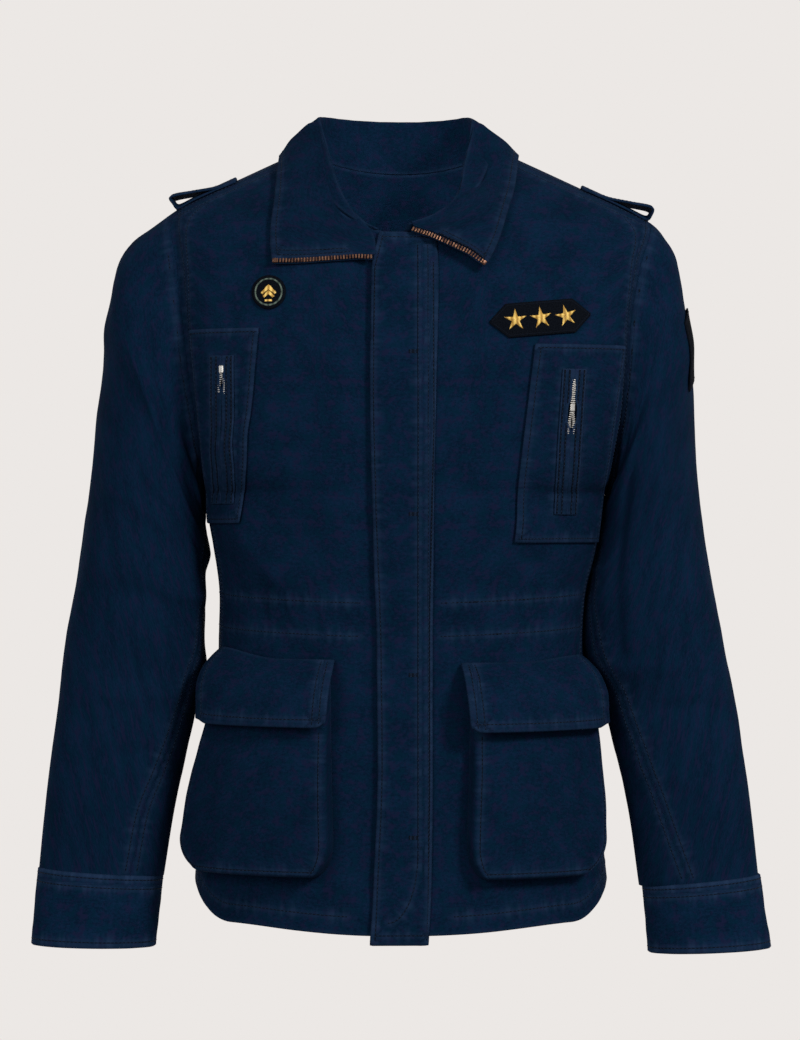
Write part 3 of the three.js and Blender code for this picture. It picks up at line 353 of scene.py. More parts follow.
def clothPiece(name, grid, thickness, way=1, ring=False, rows=(), worn=()):  # a wall under a grid of points
    grid = np.asarray(grid, float)
    count, columns = grid.shape[:2]
    normals = gridNormals(grid, way, ring)
    outer = grid.reshape(-1, 3)
    total = len(outer)
    i, j = np.meshgrid(np.arange(count - 1), np.arange(columns if ring else columns - 1), indexing="ij")
    a, b = i * columns + j, i * columns + (j + 1) % columns
    quads = np.stack([a, b, b + columns, a + columns], -1).reshape(-1, 4)
    faces = [quads, quads[:, ::-1] + total]
    middle = outer - normals.reshape(-1, 3) * thickness / 2
    rims, rimFrom, made = [], [], 2 * total
    for loop in borderLoop(count, columns, ring):
        loop = np.array(loop)
        along = unit(outer[np.roll(loop, -1)] - outer[np.roll(loop, 1)])
        outwards = unit(np.cross(along, normals.reshape(-1, 3)[loop])) * way
        rims.append(middle[loop] + outwards * thickness * 0.45)
        rimFrom.append(loop)
        mid = made + np.arange(len(loop))
        made += len(loop)
        after, midAfter = np.roll(loop, -1), np.roll(mid, -1)
        faces.append(np.stack([after, loop, mid, midAfter], -1))
        faces.append(np.stack([midAfter, mid, loop + total, after + total], -1))
    faces = np.concatenate(faces)
    if way < 0:
        faces = faces[:, ::-1]
    verts = np.concatenate([outer, outer - normals.reshape(-1, 3) * thickness] + rims)
    piece = makeMesh(name, verts, faces.tolist())
    mesh = piece.data
    u, v = gridRuns(grid)
    source = np.concatenate([np.arange(total), np.arange(total)] + rimFrom)
    layWeave(mesh, np.stack([u.reshape(-1)[source], v.reshape(-1)[source]], -1))
    gap, runAlong = nearestRow(outer, rows)
    edge = np.minimum(v, v[-1] - v)
    if not ring:
        edge = np.minimum(edge, np.minimum(u - u[:, :1], u[:, -1:] - u))
    if len(worn):
        edge = np.minimum(edge, nearestRow(outer, worn)[0].reshape(edge.shape))
    setPoints(mesh, "seamGap", gap[source] * metre)
    setPoints(mesh, "seamRun", runAlong[source] * metre)
    setPoints(mesh, "edgeGap", edge.reshape(-1)[source] * metre)
    return piece


def place(piece, nodes, slot, look, flat=None, area=None, held="hung", on=()):
    piece.data.materials.append(look)
    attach(piece, "root")
    if nodes:
        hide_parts(*nodes)
    return piece


# Stitches: each row is a line of points on the cloth with the way out of it
stitch = {"first": 0.5, "pitch": 3.6, "long": 2.7, "wide": 0.62, "high": 0.4, "low": 0.25, "ends": 0.15,
          "shoulders": (0.22, 0.78)}
seamShadeStrip = {"half": 0.75, "high": 0.15, "low": 0.12}  # a near-black strip along each row of stitches: painted shade in the groove the stitches pull into the cloth
threadParts, shadeStripParts = {}, {}
# One stitch: a point at each end, and two rings of four between them
stitchFaces = [(0, 2, 1), (0, 3, 2), (0, 4, 3), (0, 1, 4), (9, 5, 6), (9, 6, 7), (9, 7, 8), (9, 8, 5),
               (1, 2, 6, 5), (2, 3, 7, 6), (3, 4, 8, 7), (4, 1, 5, 8)]


# Lays a near-black strip along a row of stitches: painted shade for the groove the stitches pull into the
# cloth
def layShadeStrip(thread, line, out, lift):
    ahead = unit(np.gradient(line, axis=0))
    aside = unit(np.cross(ahead, out)) * seamShadeStrip["half"]
    low = line + out * (lift - seamShadeStrip["low"])
    verts = np.stack([low - aside, line + out * (lift + seamShadeStrip["high"]), low + aside], 1).reshape(-1, 3)
    # the strips of painted seam shade are gathered one object per thread, named with seam in place of thread
    parts = shadeStripParts.setdefault(thread.replace("thread", "seam"), ([], []))
    base = sum(len(part) for part in parts[0])
    parts[0].append(verts)
    for k in range(len(line) - 1):
        a, b, c = base + 3 * k, base + 3 * k + 1, base + 3 * k + 2
        parts[1].extend([(a, b, b + 3, a + 3), (b, c, c + 3, b + 3), (c, a, a + 3, c + 3)])
    last = base + 3 * (len(line) - 1)
    parts[1].extend([(base, base + 2, base + 1), (last, last + 1, last + 2)])


def sew(thread, line, out, lift=0.0):
    line, out = np.asarray(line, float), np.asarray(out, float)
    layShadeStrip(thread, line, out, lift)
    run = lengthsAlong(line)
    starts = np.arange(stitch["first"], run[-1] - stitch["long"], stitch["pitch"])
    if len(starts) == 0:
        return line
    p, q = alongLine(line, run, starts), alongLine(line, run, starts + stitch["long"])
    up = unit(alongLine(out, run, starts + stitch["long"] / 2))
    ahead = unit(q - p)
    aside = unit(np.cross(ahead, up))
    half = stitch["wide"] / 2
    verts = [p + up * (lift - stitch["ends"])]
    for share in stitch["shoulders"]:
        middle = mix(p, q, share) + up * lift
        verts += [middle - aside * half, middle + up * stitch["high"]]
        verts += [middle + aside * half, middle - up * stitch["low"]]
    verts.append(q + up * (lift - stitch["ends"]))
    parts = threadParts.setdefault(thread, ([], []))
    base = sum(len(part) for part in parts[0])
    parts[0].append(np.stack(verts, 1).reshape(-1, 3))
    for k in range(len(starts)):
        parts[1].extend([tuple(n + base + len(verts) * k for n in face) for face in stitchFaces])
    return line


# One object per thread for the stitches, and one for each thread's strip of painted seam shade
def finishThreads(look, shadeStripLook, slot):
    for parts, partLook in ((threadParts, look), (shadeStripParts, shadeStripLook)):
        for name, (verts, faces) in parts.items():
            piece = makeMesh(name, np.concatenate(verts), faces)
            place(piece, (), slot, partLook)
        parts.clear()


# Navy twill, dyed after sewing: mottled, with thick yarns across, worn paler along seams and edges
def newLook(name):
    look = bpy.data.materials.new(name)
    look.use_nodes = True
    return look, look.node_tree, look.node_tree.nodes["Principled BSDF"]


def join(tree, value, node, socket):  # value is (node, output)
    tree.links.new(value[0].outputs[value[1]], node.inputs[socket])


def addBump(tree, shader, height, strength, distance):
    bump = tree.nodes.new("ShaderNodeBump")
    bump.inputs["Strength"].default_value = strength
    bump.inputs["Distance"].default_value = distance
    join(tree, height, bump, "Height")
    tree.links.new(bump.outputs["Normal"], shader.inputs["Normal"])


def addNode(tree, kind, **values):
    node = tree.nodes.new(kind)
    for key, value in values.items():
        if hasattr(node, key):
            setattr(node, key, value)
        else:
            node.inputs[key.replace("_", " ")].default_value = value
    return node


def sumNode(tree, operation, a, b, clamp=False):  # a and b are numbers or (node, output)
    node = tree.nodes.new("ShaderNodeMath")
    node.operation = operation
    node.use_clamp = clamp
    for slotNumber, value in enumerate((a, b)):
        if isinstance(value, tuple):
            join(tree, value, node, slotNumber)
        else:
            node.inputs[slotNumber].default_value = value
    return (node, 0)


def rangeNode(tree, value, fromLow, fromHigh, toLow=0.0, toHigh=1.0):
    node = tree.nodes.new("ShaderNodeMapRange")
    node.interpolation_type = "SMOOTHSTEP"
    join(tree, value, node, "Value")
    for key, number in (("From Min", fromLow), ("From Max", fromHigh), ("To Min", toLow), ("To Max", toHigh)):
        node.inputs[key].default_value = number
    return (node, "Result")


def noiseNode(tree, vector, stretch, detail=2.0, roughness=0.5):
    mapping = tree.nodes.new("ShaderNodeMapping")
    mapping.inputs["Scale"].default_value = stretch
    join(tree, vector, mapping, "Vector")
    node = tree.nodes.new("ShaderNodeTexNoise")
    node.inputs["Scale"].default_value = 1.0
    node.inputs["Detail"].default_value = detail
    node.inputs["Roughness"].default_value = roughness
    tree.links.new(mapping.outputs["Vector"], node.inputs["Vector"])
    return (node, "Fac")


def colourMix(tree, share, a, b):
    node = tree.nodes.new("ShaderNodeMix")
    node.data_type = "RGBA"
    join(tree, share, node, 0)
    for number, value in ((6, a), (7, b)):
        if isinstance(value, tuple) and len(value) == 2:
            join(tree, value, node, number)
        else:
            node.inputs[number].default_value = (*value, 1.0)
    return (node, 2)


twill = {
    "deep": (0.0014, 0.0074, 0.0205), "fair": (0.0034, 0.0152, 0.0410), "worn": (0.0125, 0.0270, 0.0620),
    "teal": (0.0010, 0.0138, 0.0300), "plum": (0.0080, 0.0098, 0.0340),
    "hue": (105.0, 120.0, 1.0), "hueShare": 0.75, "patches": (30.0, 30.0, 1.0), "slubs": (300.0, 430.0, 1.0),
    "grain": (900.0, 900.0, 1.0), "mottleLow": 0.95, "mottleHigh": 1.55, "twillPitch": 0.0011,
    "rough": 0.9, "specular": 0.02, "sheen": 0.006, "sheenRough": 0.6, "sheenTint": (0.35, 0.5, 0.9, 1.0),
    "besideLow": 0.0015, "besideHigh": 0.0045, "beside": 0.22, "groove": 0.0009, "puckerReach": 0.011,
    "pucker": (115.0, 16.0, 1.0), "rubbed": 0.55, "edgeReach": 0.0035, "edgeRubbed": 0.5,
    "bump": 0.8, "bumpDeep": 0.0008,
}


def twillLook(name, shade=1.0, worn=1.0):
    def shaded(key):
        return tuple(c * shade for c in twill[key])

    def total(*weighted):  # adds up (value, weight) pairs
        value = sumNode(tree, "MULTIPLY", *weighted[0])
        for part in weighted[1:]:
            value = sumNode(tree, "ADD", value, sumNode(tree, "MULTIPLY", *part))
        return value

    look, tree, shader = newLook(name)
    weave = (addNode(tree, "ShaderNodeUVMap", uv_map="weave"), "UV")
    gap, run, edge = ((addNode(tree, "ShaderNodeAttribute", attribute_name=key), "Fac")
                      for key in ("seamGap", "seamRun", "edgeGap"))
    patches = noiseNode(tree, weave, twill["patches"], 3.0, 0.6)
    slubs = noiseNode(tree, weave, twill["slubs"], 2.0, 0.6)
    grain = noiseNode(tree, weave, twill["grain"], 1.0, 0.7)
    mottle = total((patches, 0.9), (slubs, 0.9), (grain, 0.7))
    mottle = rangeNode(tree, mottle, twill["mottleLow"], twill["mottleHigh"])
    cloth = colourMix(tree, mottle, shaded("deep"), shaded("fair"))
    hue = noiseNode(tree, weave, twill["hue"], 4.0, 0.68)
    for colour, low, high in (("teal", 0.50, 0.36), ("plum", 0.50, 0.64)):
        share = sumNode(tree, "MULTIPLY", rangeNode(tree, hue, low, high), twill["hueShare"])
        cloth = colourMix(tree, share, cloth, shaded(colour))
    # Puckers run across each seam, and the dye is rubbed off them, beside the seam and at the edges
    along = addNode(tree, "ShaderNodeCombineXYZ")
    join(tree, run, along, "X")
    join(tree, gap, along, "Y")
    ropes = noiseNode(tree, (along, "Vector"), twill["pucker"], 2.0, 0.55)
    nearSeam = rangeNode(tree, gap, 0.0, twill["puckerReach"], 1.0, 0.0)
    rubbed = sumNode(tree, "MULTIPLY", nearSeam, rangeNode(tree, ropes, 0.42, 0.72))
    edgeRub = sumNode(tree, "MULTIPLY", rangeNode(tree, edge, 0.0, twill["edgeReach"], 1.0, 0.0),
                      rangeNode(tree, patches, 0.3, 0.7, 0.35, 1.0))
    rubbed = sumNode(tree, "MULTIPLY", rubbed, twill["rubbed"] * worn)
    beside = rangeNode(tree, gap, twill["besideLow"], twill["besideHigh"], twill["beside"] * worn, 0.0)
    rubbed = sumNode(tree, "ADD", rubbed, beside, True)
    edgeRub = sumNode(tree, "MULTIPLY", edgeRub, twill["edgeRubbed"] * worn)
    rubbed = sumNode(tree, "ADD", rubbed, edgeRub, True)
    join(tree, colourMix(tree, rubbed, cloth, shaded("worn")), shader, "Base Color")
    shader.inputs["Roughness"].default_value = twill["rough"]
    shader.inputs["Specular IOR Level"].default_value = twill["specular"]
    shader.inputs["Sheen Weight"].default_value = twill["sheen"]
    shader.inputs["Sheen Roughness"].default_value = twill["sheenRough"]
    shader.inputs["Sheen Tint"].default_value = twill["sheenTint"]
    groove = rangeNode(tree, gap, 0.0, twill["groove"], 0.0, 1.0)
    diagonal = addNode(tree, "ShaderNodeTexWave", wave_type="BANDS", bands_direction="DIAGONAL")
    diagonal.inputs["Scale"].default_value = 0.32 / twill["twillPitch"]
    diagonal.inputs["Distortion"].default_value = 0.6
    join(tree, weave, diagonal, "Vector")
    puckers = sumNode(tree, "MULTIPLY", ropes, nearSeam)
    height = total((groove, 0.55), (puckers, 1.5), (slubs, 0.16), (grain, 0.13), ((diagonal, "Fac"), 0.02))
    addBump(tree, shader, height, twill["bump"], twill["bumpDeep"])
    return look


# One navy twill, copied darker or lighter as a whole: the darker copies for pockets, welts, collar zip tape
# and collar are painted shade, the lighter cuffs are painted light, and the cuffs' stronger rubbing is wear
navyLook = twillLook("navyTwill")
darkLook = twillLook("navyTwillPockets", 0.95)
cuffLook = twillLook("navyTwillCuffs", 1.15, 1.2)
collarLook = twillLook("navyTwillCollar", 0.9)


def threadLook(name, colour):
    look, tree, shader = newLook(name)
    spot = (addNode(tree, "ShaderNodeTexCoord"), "Object")
    twist = noiseNode(tree, spot, (420.0, 420.0, 420.0), 2.0)
    cloth = colourMix(tree, twist, tuple(c * 0.6 for c in colour), tuple(c * 1.4 for c in colour))
    join(tree, cloth, shader, "Base Color")
    shader.inputs["Roughness"].default_value = 0.75
    shader.inputs["Specular IOR Level"].default_value = 0.1
    return look


navyThread = threadLook("navyThread", (0.010, 0.022, 0.050))

# What each piece was cut to: the smallest rectangle round it and its own area, in metres
cuts = {
    "frontRight": {"flat": (0.31, 0.75), "area": 0.155}, "frontLeft": {"flat": (0.33, 0.75), "area": 0.156},
    "back": {"flat": (0.52, 0.74), "area": 0.312},
    "sleeveRight": {"flat": (0.64, 0.64), "area": 0.183},
    "sleeveLeft": {"flat": (0.62, 0.62), "area": 0.169},
    "cuffRight": {"flat": (0.29, 0.067)}, "cuffLeft": {"flat": (0.282, 0.064)},
    "collar": {"flat": (0.60, 0.102), "area": 0.0446}, "fly": {"flat": (0.06, 0.63), "area": 0.0325},
    "chestPocketRight": {"flat": (0.072, 0.185), "area": 0.011},
    "chestPocketLeft": {"flat": (0.11, 0.192), "area": 0.017},
    "chestWelt": {"flat": (0.013, 0.138), "area": 0.00175},
    "pocketBagRight": {"flat": (0.207, 0.208), "area": 0.0345},
    "pocketBagLeft": {"flat": (0.176, 0.202), "area": 0.0315},
    "pocketFlapRight": {"flat": (0.142, 0.077), "area": 0.0098},
    "pocketFlapLeft": {"flat": (0.152, 0.075), "area": 0.0104},
    "shoulderLoopRight": {"flat": (0.040, 0.130), "area": 0.0045},
    "shoulderLoopLeft": {"flat": (0.040, 0.146), "area": 0.005},
    "collarZip": {"flat": (0.01, 0.098), "area": 0.0006},
    "chestZip": {"flat": (0.016, 0.116), "area": 0.0016},
    "starPatch": {"flat": (0.088, 0.029), "area": 0.0024}, "sleevePatch": {"flat": (0.072, 0.068)},
}

# Fronts and back
panels = {"thickness": 1.6, "columns": 96, "lowerRows": 134, "upperRows": 102, "backColumns": 160,
          "gap": 0.3}


def panelRows(side, face, across):
    lowerRows, upperRows = int(panels["lowerRows"] / fineness), int(panels["upperRows"] / fineness)
    k = np.linspace(0, 1, lowerRows, endpoint=False)[:, None]
    lower = mix(hemOf(across)[None], bodyForm["armpit"], k)
    k = np.linspace(0, 1, upperRows + 1)[:, None]
    upper = mix(bodyForm["armpit"], topOf(side, face, across)[None], k)
    return np.concatenate([lower, upper])


def panelGrid(side, face, across):
    z = panelRows(side, face, across)
    return torsoPoint(side, face, across[None] + 0 * z, z)


def awayFromSide(side, face, z, distance):  # the share across a panel that lies a distance from its side
    step = 0.06
    span = torsoPoint(side, face, 1.0, z, False) - torsoPoint(side, face, 1 - step, z, False)
    return 1 - step * np.asarray(distance, float) / np.linalg.norm(span, axis=-1)


def lineOn(side, face, across, z):  # points on the cloth, and the way out of it
    z, across = spread(z, across)
    step = 0.01
    points = torsoPoint(side, face, across, z)
    inner = np.clip(across - step, 0, 1)
    span = torsoPoint(side, face, np.clip(across + step, 0, 1), z) - torsoPoint(side, face, inner, z)
    rise = torsoPoint(side, face, across, z + 2) - torsoPoint(side, face, across, z - 2)
    return points, unit(np.cross(span, rise) * -side * face)


bodyRows = {"frontRight": [], "frontLeft": [], "back": []}
bodySeams = {
    "armhole": (3.5, 10.5), "shoulder": (4.0, 10.0), "hem": 15.0, "hemStart": 0.12,
    "casing": (-388.0, -417.0), "casingStart": 0.1, "casingDrop": 9, "sideShare": 0.835, "sideWidth": 3.2,
}
frontPanels = {right: "frontRight", left: "frontLeft"}


def sewBody(panel, side, face, across, z):
    points, out = lineOn(side, face, across, z)
    bodyRows[panel].append(sew("thread." + panel, points, out))


for side in (right, left):
    for face in (front, back):
        panel = frontPanels[side] if face == front else "back"
        topSide = float(topOf(side, face, np.array(1.0)))
        for distance in bodySeams["armhole"]:
            z = np.linspace(-297, topSide - 3, 90)
            sewBody(panel, side, face, awayFromSide(side, face, z, distance), z)
        if face == front:
            for distance in bodySeams["shoulder"]:
                neck = float(acrossAt(side, 84.0, 0.0))
                across = np.linspace(neck, 0.985, 50)
                sewBody(panel, side, face, across, topOf(side, face, across) - distance)
        across = np.linspace(bodySeams["hemStart"] if face == front else 0.0, 1, 90)
        sewBody(panel, side, face, across, hemOf(across) + bodySeams["hem"])
        across = np.linspace(bodySeams["casingStart"] if face == front else 0.0, 1, 60)
        drop = bodySeams["casingDrop"] * (1 - across) if face == front else 0 * across
        for z in bodySeams["casing"]:
            sewBody(panel, side, face, across, z - drop)
    for aside in (-1, 1):
        z = np.linspace(-318, -650, 110)
        share = bodySeams["sideShare"] + aside * bodySeams["sideWidth"] / 400
        sewBody(frontPanels[side], side, front, share + 0 * z, z)


def leftShare(x):  # the share across the left front of a place beside the middle
    return float(acrossAt(left, x, -200.0))


for side in (right, left):
    panel = frontPanels[side]
    start = leftShare(bodyForm["centreFront"] + panels["gap"] / 2) if side == left else 0.0
    across = np.linspace(start, 1, int(panels["columns"] / fineness))
    grid = panelGrid(side, front, across)
    if side == right:
        under = panelGrid(left, front, np.array([leftShare(bodyForm["centreFront"] - panels["gap"] / 2)]))
        grid = np.concatenate([under, grid], axis=1)
    piece = clothPiece(panel, grid, panels["thickness"], side, rows=bodyRows[panel])
    place(piece, ["front_" + sideNames[side]], "navy_twill", navyLook, **cuts[panel])

across = np.linspace(0, 1, int(panels["backColumns"] / 2 / fineness))
grid = np.concatenate([panelGrid(left, back, across)[:, ::-1], panelGrid(right, back, across)[:, 1:]], axis=1)
piece = clothPiece("backPanel", grid, panels["thickness"], 1, rows=bodyRows["back"])
place(piece, ["back"], "navy_twill", navyLook, **cuts["back"])
print("fronts and back made")

# Sleeves and cuffs: rings from the armhole down, the side away from the body and the side beside it
ringColumns = ("ring", "outX", "outZ", "inX", "inZ", "depth", "y")
sleeveShapes = {
    right: [
        (0, 199, -43, 174, -300, 68, 2), (1, 221, -60, 175.4, -306, 68, 1),
        (2, 240.5, -75, 175.6, -314, 68, 0), (3, 255, -99, 175, -324, 67, 0),
        (4, 261, -140, 174, -338, 66, -1), (5, 267, -190, 173.5, -356, 64, -3),
        (6, 274, -250, 173.5, -380, 62, -5), (7, 282, -315, 174, -410, 58, -7),
        (8, 291, -380, 175, -444, 54, -9), (9, 300, -440, 182, -484, 49, -12),
        (10, 308.5, -500, 190, -527, 44, -15), (11, 316, -565, 201, -578, 38, -18),
        (12, 322.5, -634, 211, -641, 32, -20),
    ],
    left: [
        (0, 222, -55, 184, -300, 68, 2), (1, 234, -66, 185.5, -306, 68, 1),
        (2, 244, -82, 186, -313, 68, 0), (3, 252, -104, 185, -322, 67, 0),
        (4, 258, -145, 181.6, -335, 66, -1), (5, 262, -190, 178.2, -354, 64, -3),
        (6, 264, -250, 172, -380, 62, -5), (7, 270, -315, 167.6, -410, 58, -7),
        (8, 280, -380, 167.6, -444, 54, -9), (9, 291, -440, 180, -484, 49, -12),
        (10, 302, -500, 191.5, -527, 44, -15), (11, 312, -565, 203.5, -578, 38, -18),
        (12, 320, -640, 213.5, -650, 32, -20),
    ],
}
cuffShapes = {
    right: [(0, 323.5, -634.6, 211.5, -641.6, 34, -20), (1, 326.5, -668, 215, -674, 33, -21),
            (2, 330, -701, 218, -703, 32, -22)],
    left: [(0, 322, -640.6, 216, -650.6, 34, -20), (1, 327, -672, 218.5, -680, 33, -21),
           (2, 332, -704, 221, -708.5, 32, -22)],
}
# Creases: turn from the outer side over the front, by 60 degrees, and ring, twice, then width and lift
sleeveCreases = {
    right: [
        (20 / 60, 4.2, 130 / 60, 2.6, 0.5, 4), (60 / 60, 7.5, 150 / 60, 6.4, 0.45, 3.5),
        (80 / 60, 9, 160 / 60, 8.4, 0.4, -3), (200 / 60, 5, 300 / 60, 3.6, 0.5, 4),
        (190 / 60, 8.4, 290 / 60, 9, 0.45, 4),
    ],
    left: [
        (30 / 60, 4.4, 140 / 60, 3, 0.45, 3.5), (50 / 60, 8, 140 / 60, 6.8, 0.5, 3),
        (90 / 60, 9.6, 165 / 60, 8.6, 0.4, -3), (210 / 60, 4.6, 310 / 60, 3.4, 0.5, 4.5),
        (200 / 60, 8.8, 300 / 60, 8, 0.45, 4),
    ],
}
sleeveFineCreases = {  # turn round the sleeve in sixths, ring, and the same at the other end
    right: [
        (2.35, 0.6, 2.7, 2.4, 0.13, -2.6), (2.2, 1.2, 2.45, 2.9, 0.10, 1.6), (1.0, 1.0, 1.5, 2.6, 0.2, 1.8),
        (1.2, 3.6, 2.3, 4.4, 0.16, 1.8), (1.5, 5.6, 2.4, 5.1, 0.15, -2.0), (0.8, 6.4, 2.0, 5.8, 0.14, 1.5),
        (1.9, 7.2, 2.6, 6.6, 0.14, 1.8), (0.7, 8.0, 1.7, 7.4, 0.16, -1.8), (1.3, 9.4, 2.3, 9.0, 0.16, 1.7),
        (0.8, 10.6, 1.9, 10.2, 0.14, -1.4), (4.0, 5.4, 4.9, 5.0, 0.2, 2.0), (4.1, 8.0, 5.2, 8.6, 0.2, -2.0),
    ],
    left: [
        (2.3, 0.7, 2.65, 2.5, 0.13, -2.8), (2.05, 0.9, 2.3, 2.8, 0.10, 1.8),
        (1.25, 4.6, 1.3, 8.2, 0.17, 2.6), (2.0, 4.2, 2.05, 8.4, 0.14, -3.0),
        (1.0, 1.2, 1.4, 2.6, 0.2, 1.5), (1.1, 9.0, 2.1, 8.6, 0.15, 1.6), (0.7, 9.8, 1.7, 9.5, 0.14, -1.6),
        (1.4, 10.8, 2.3, 10.4, 0.14, 1.4), (2.4, 6.0, 2.9, 5.5, 0.15, 1.8),
        (4.0, 5.8, 4.9, 5.2, 0.2, 2.0), (4.2, 8.4, 5.2, 8.9, 0.2, -2.0), (3.0, 3.4, 3.0, 7.6, 0.6, 4.6),
        (3.0, 1.0, 3.0, 2.4, 0.5, 5.2),
    ],
}
sleeveForm = {"cap": 4, "last": 12, "columns": 140, "rows": 184, "thickness": 1.6, "sink": 1.1,
              "sinkReach": 3.0, "armpitReach": 0.4}
cuffForm = {"columns": 140, "rows": 30, "thickness": 2.6, "last": 2, "stitches": (0.09, 0.33, 1.86)}


def fromMiddle(side, turn):  # the way out of a sleeve at a turn round it
    return np.stack([side * np.cos(turn), -np.sin(turn), 0 * turn], -1)


def ringPoint(side, rows, ring, turn):
    ring, turn = spread(ring, turn)
    outX, outZ, inX, inZ, depth, y = (readTable(rows, "ring", column, ring) for column in ringColumns[1:])
    x = (outX + inX) / 2 + (outX - inX) / 2 * np.cos(turn)
    z = (outZ + inZ) / 2 + (outZ - inZ) / 2 * np.cos(turn)
    return np.stack([side * x, y - depth * np.sin(turn), z], -1)


def armhole(side, turn):  # from the shoulder round its front to the armpit and up its back
    turn = np.mod(turn, 2 * math.pi)
    share = (1 - np.cos(turn)) / 2
    ahead = torsoPoint(side, front, 1.0, mix(topOf(side, front, 1.0), bodyForm["armpit"], share))
    behind = torsoPoint(side, back, 1.0, mix(topOf(side, back, 1.0), bodyForm["armpit"], share))
    return np.where((turn <= math.pi)[..., None], ahead, behind)


def sleevePoint(side, ring, turn, fine=True):
    rows = asRows(ringColumns, sleeveShapes[side])
    ring, turn = spread(ring, turn)
    around = np.mod(turn, 2 * math.pi)
    start = ringPoint(side, rows, 0 * ring, turn)
    strain = (armhole(side, turn) - start) * (1 - smooth(ring / sleeveForm["cap"]))[..., None]
    point = ringPoint(side, rows, ring, turn) + strain
    ends = smooth(ring / 2) * smooth((sleeveForm["last"] - ring) / 2)
    lift = creaseLift(sleeveCreases[side], np.degrees(around) / 60, ring)
    if fine:
        share = around / (2 * math.pi)
        lift = lift + creaseLift(sleeveFineCreases[side], np.degrees(around) / 60, ring)
        lift = lift + 1.1 * unevenness(share * 10, ring * 0.9 + 3 * side, 10)
        lift = lift + 0.5 * unevenness(share * 22, ring * 2.1 + 7 * side, 22)
        lift = lift + 0.18 * unevenness(share * 46, ring * 4.6 + 11, 46)
    lift = lift * ends
    return point + fromMiddle(side, turn) * lift[..., None]


def outOfSleeve(side, ring, turn):
    step = 0.05
    along = sleevePoint(side, ring + step, turn) - sleevePoint(side, ring - step, turn)
    around = sleevePoint(side, ring, turn + step) - sleevePoint(side, ring, turn - step)
    return unit(np.cross(around, along) * side)


def cuffPoint(side, down, turn):
    down, turn = spread(down, turn)
    point = ringPoint(side, asRows(ringColumns, cuffShapes[side]), down, turn)
    share = np.mod(turn, 2 * math.pi) / (2 * math.pi)
    lift = 0.7 * unevenness(share * 9, down * 1.1 + 2 * side, 9) + 0.3 * unevenness(share * 23, down * 3, 23)
    return point + fromMiddle(side, turn) * (lift * (0.4 + 0.6 * smooth(down)))[..., None]


# Where the felled seam runs down the sleeve: ring and turn
sleeveSeams = {
    right: [(0, 180), (4, 172), (8, 160), (10.5, 138), (11.2, 129), (12, 126)],
    left: [(0, 180), (4, 166), (8, 151), (10, 136), (11, 126), (12, 107)],
}
sleeveSeamWidth = 10.0

for side in (right, left):
    name = sideNames[side]
    thread = "threadSleeve" + name.capitalize()
    seam = asRows(("ring", "turn"), sleeveSeams[side])
    ring = np.linspace(0.25, 11.93, 260)
    turn = np.radians(readTable(seam, "ring", "turn", ring))
    rows = []
    for aside in (0, 1):
        span = sleevePoint(side, ring, turn + 0.02, False) - sleevePoint(side, ring, turn, False)
        radius = np.linalg.norm(span, axis=-1) / 0.02
        at = turn - aside * sleeveSeamWidth / radius
        rows.append(sew(thread, sleevePoint(side, ring, at), outOfSleeve(side, ring, at)))
    ring = np.linspace(0, 1, int(sleeveForm["rows"] / fineness))[:, None] * sleeveForm["last"]
    turn = np.linspace(0, 2 * math.pi, int(sleeveForm["columns"] / fineness), endpoint=False)[None]
    grid = sleevePoint(side, ring, turn)
    run = np.concatenate([np.zeros(1), np.cumsum(np.linalg.norm(np.diff(grid, axis=0), axis=-1).mean(1))])
    sink = sleeveForm["sink"] * np.exp(-run / sleeveForm["sinkReach"])
    atArmpit = np.exp(-((turn - math.pi) / sleeveForm["armpitReach"]) ** 2)
    grid = grid - gridNormals(grid, side, True) * (sink[:, None] * (1 - atArmpit))[..., None]
    tucked = []  # the end of the sleeve goes on inside its cuff
    for down, inwards in ((0.03, 1.4), (0.22, 2.4)):
        ringAt = ringPoint(side, asRows(ringColumns, cuffShapes[side]), down, turn[0])
        tucked.append(ringAt - unit(ringAt - ringAt.mean(0)) * inwards)
    grid = np.concatenate([grid, np.array(tucked)])
    rows.append(armhole(side, np.linspace(0, 2 * math.pi, 160)))
    piece = clothPiece("sleeve" + name.capitalize(), grid, sleeveForm["thickness"], side, True, rows)
    place(piece, ["sleeve_" + name], "navy_twill", navyLook, **cuts["sleeve" + name.capitalize()])

    thread = "threadCuff" + name.capitalize()
    around = np.linspace(0, 2 * math.pi, 220)
    rows = [sew(thread, cuffPoint(side, down, around), fromMiddle(side, around))
            for down in cuffForm["stitches"]]
    down = np.linspace(0, cuffForm["last"], int(cuffForm["rows"] / fineness))[:, None]
    turn = np.linspace(0, 2 * math.pi, int(cuffForm["columns"] / fineness), endpoint=False)[None]
    grid = cuffPoint(side, down, turn)
    piece = clothPiece("cuff" + name.capitalize(), grid, cuffForm["thickness"], side, True, rows)
    place(piece, ["cuff_" + name], "navy_twill_dark", cuffLook, **cuts["cuff" + name.capitalize()])
print("sleeves and cuffs made")

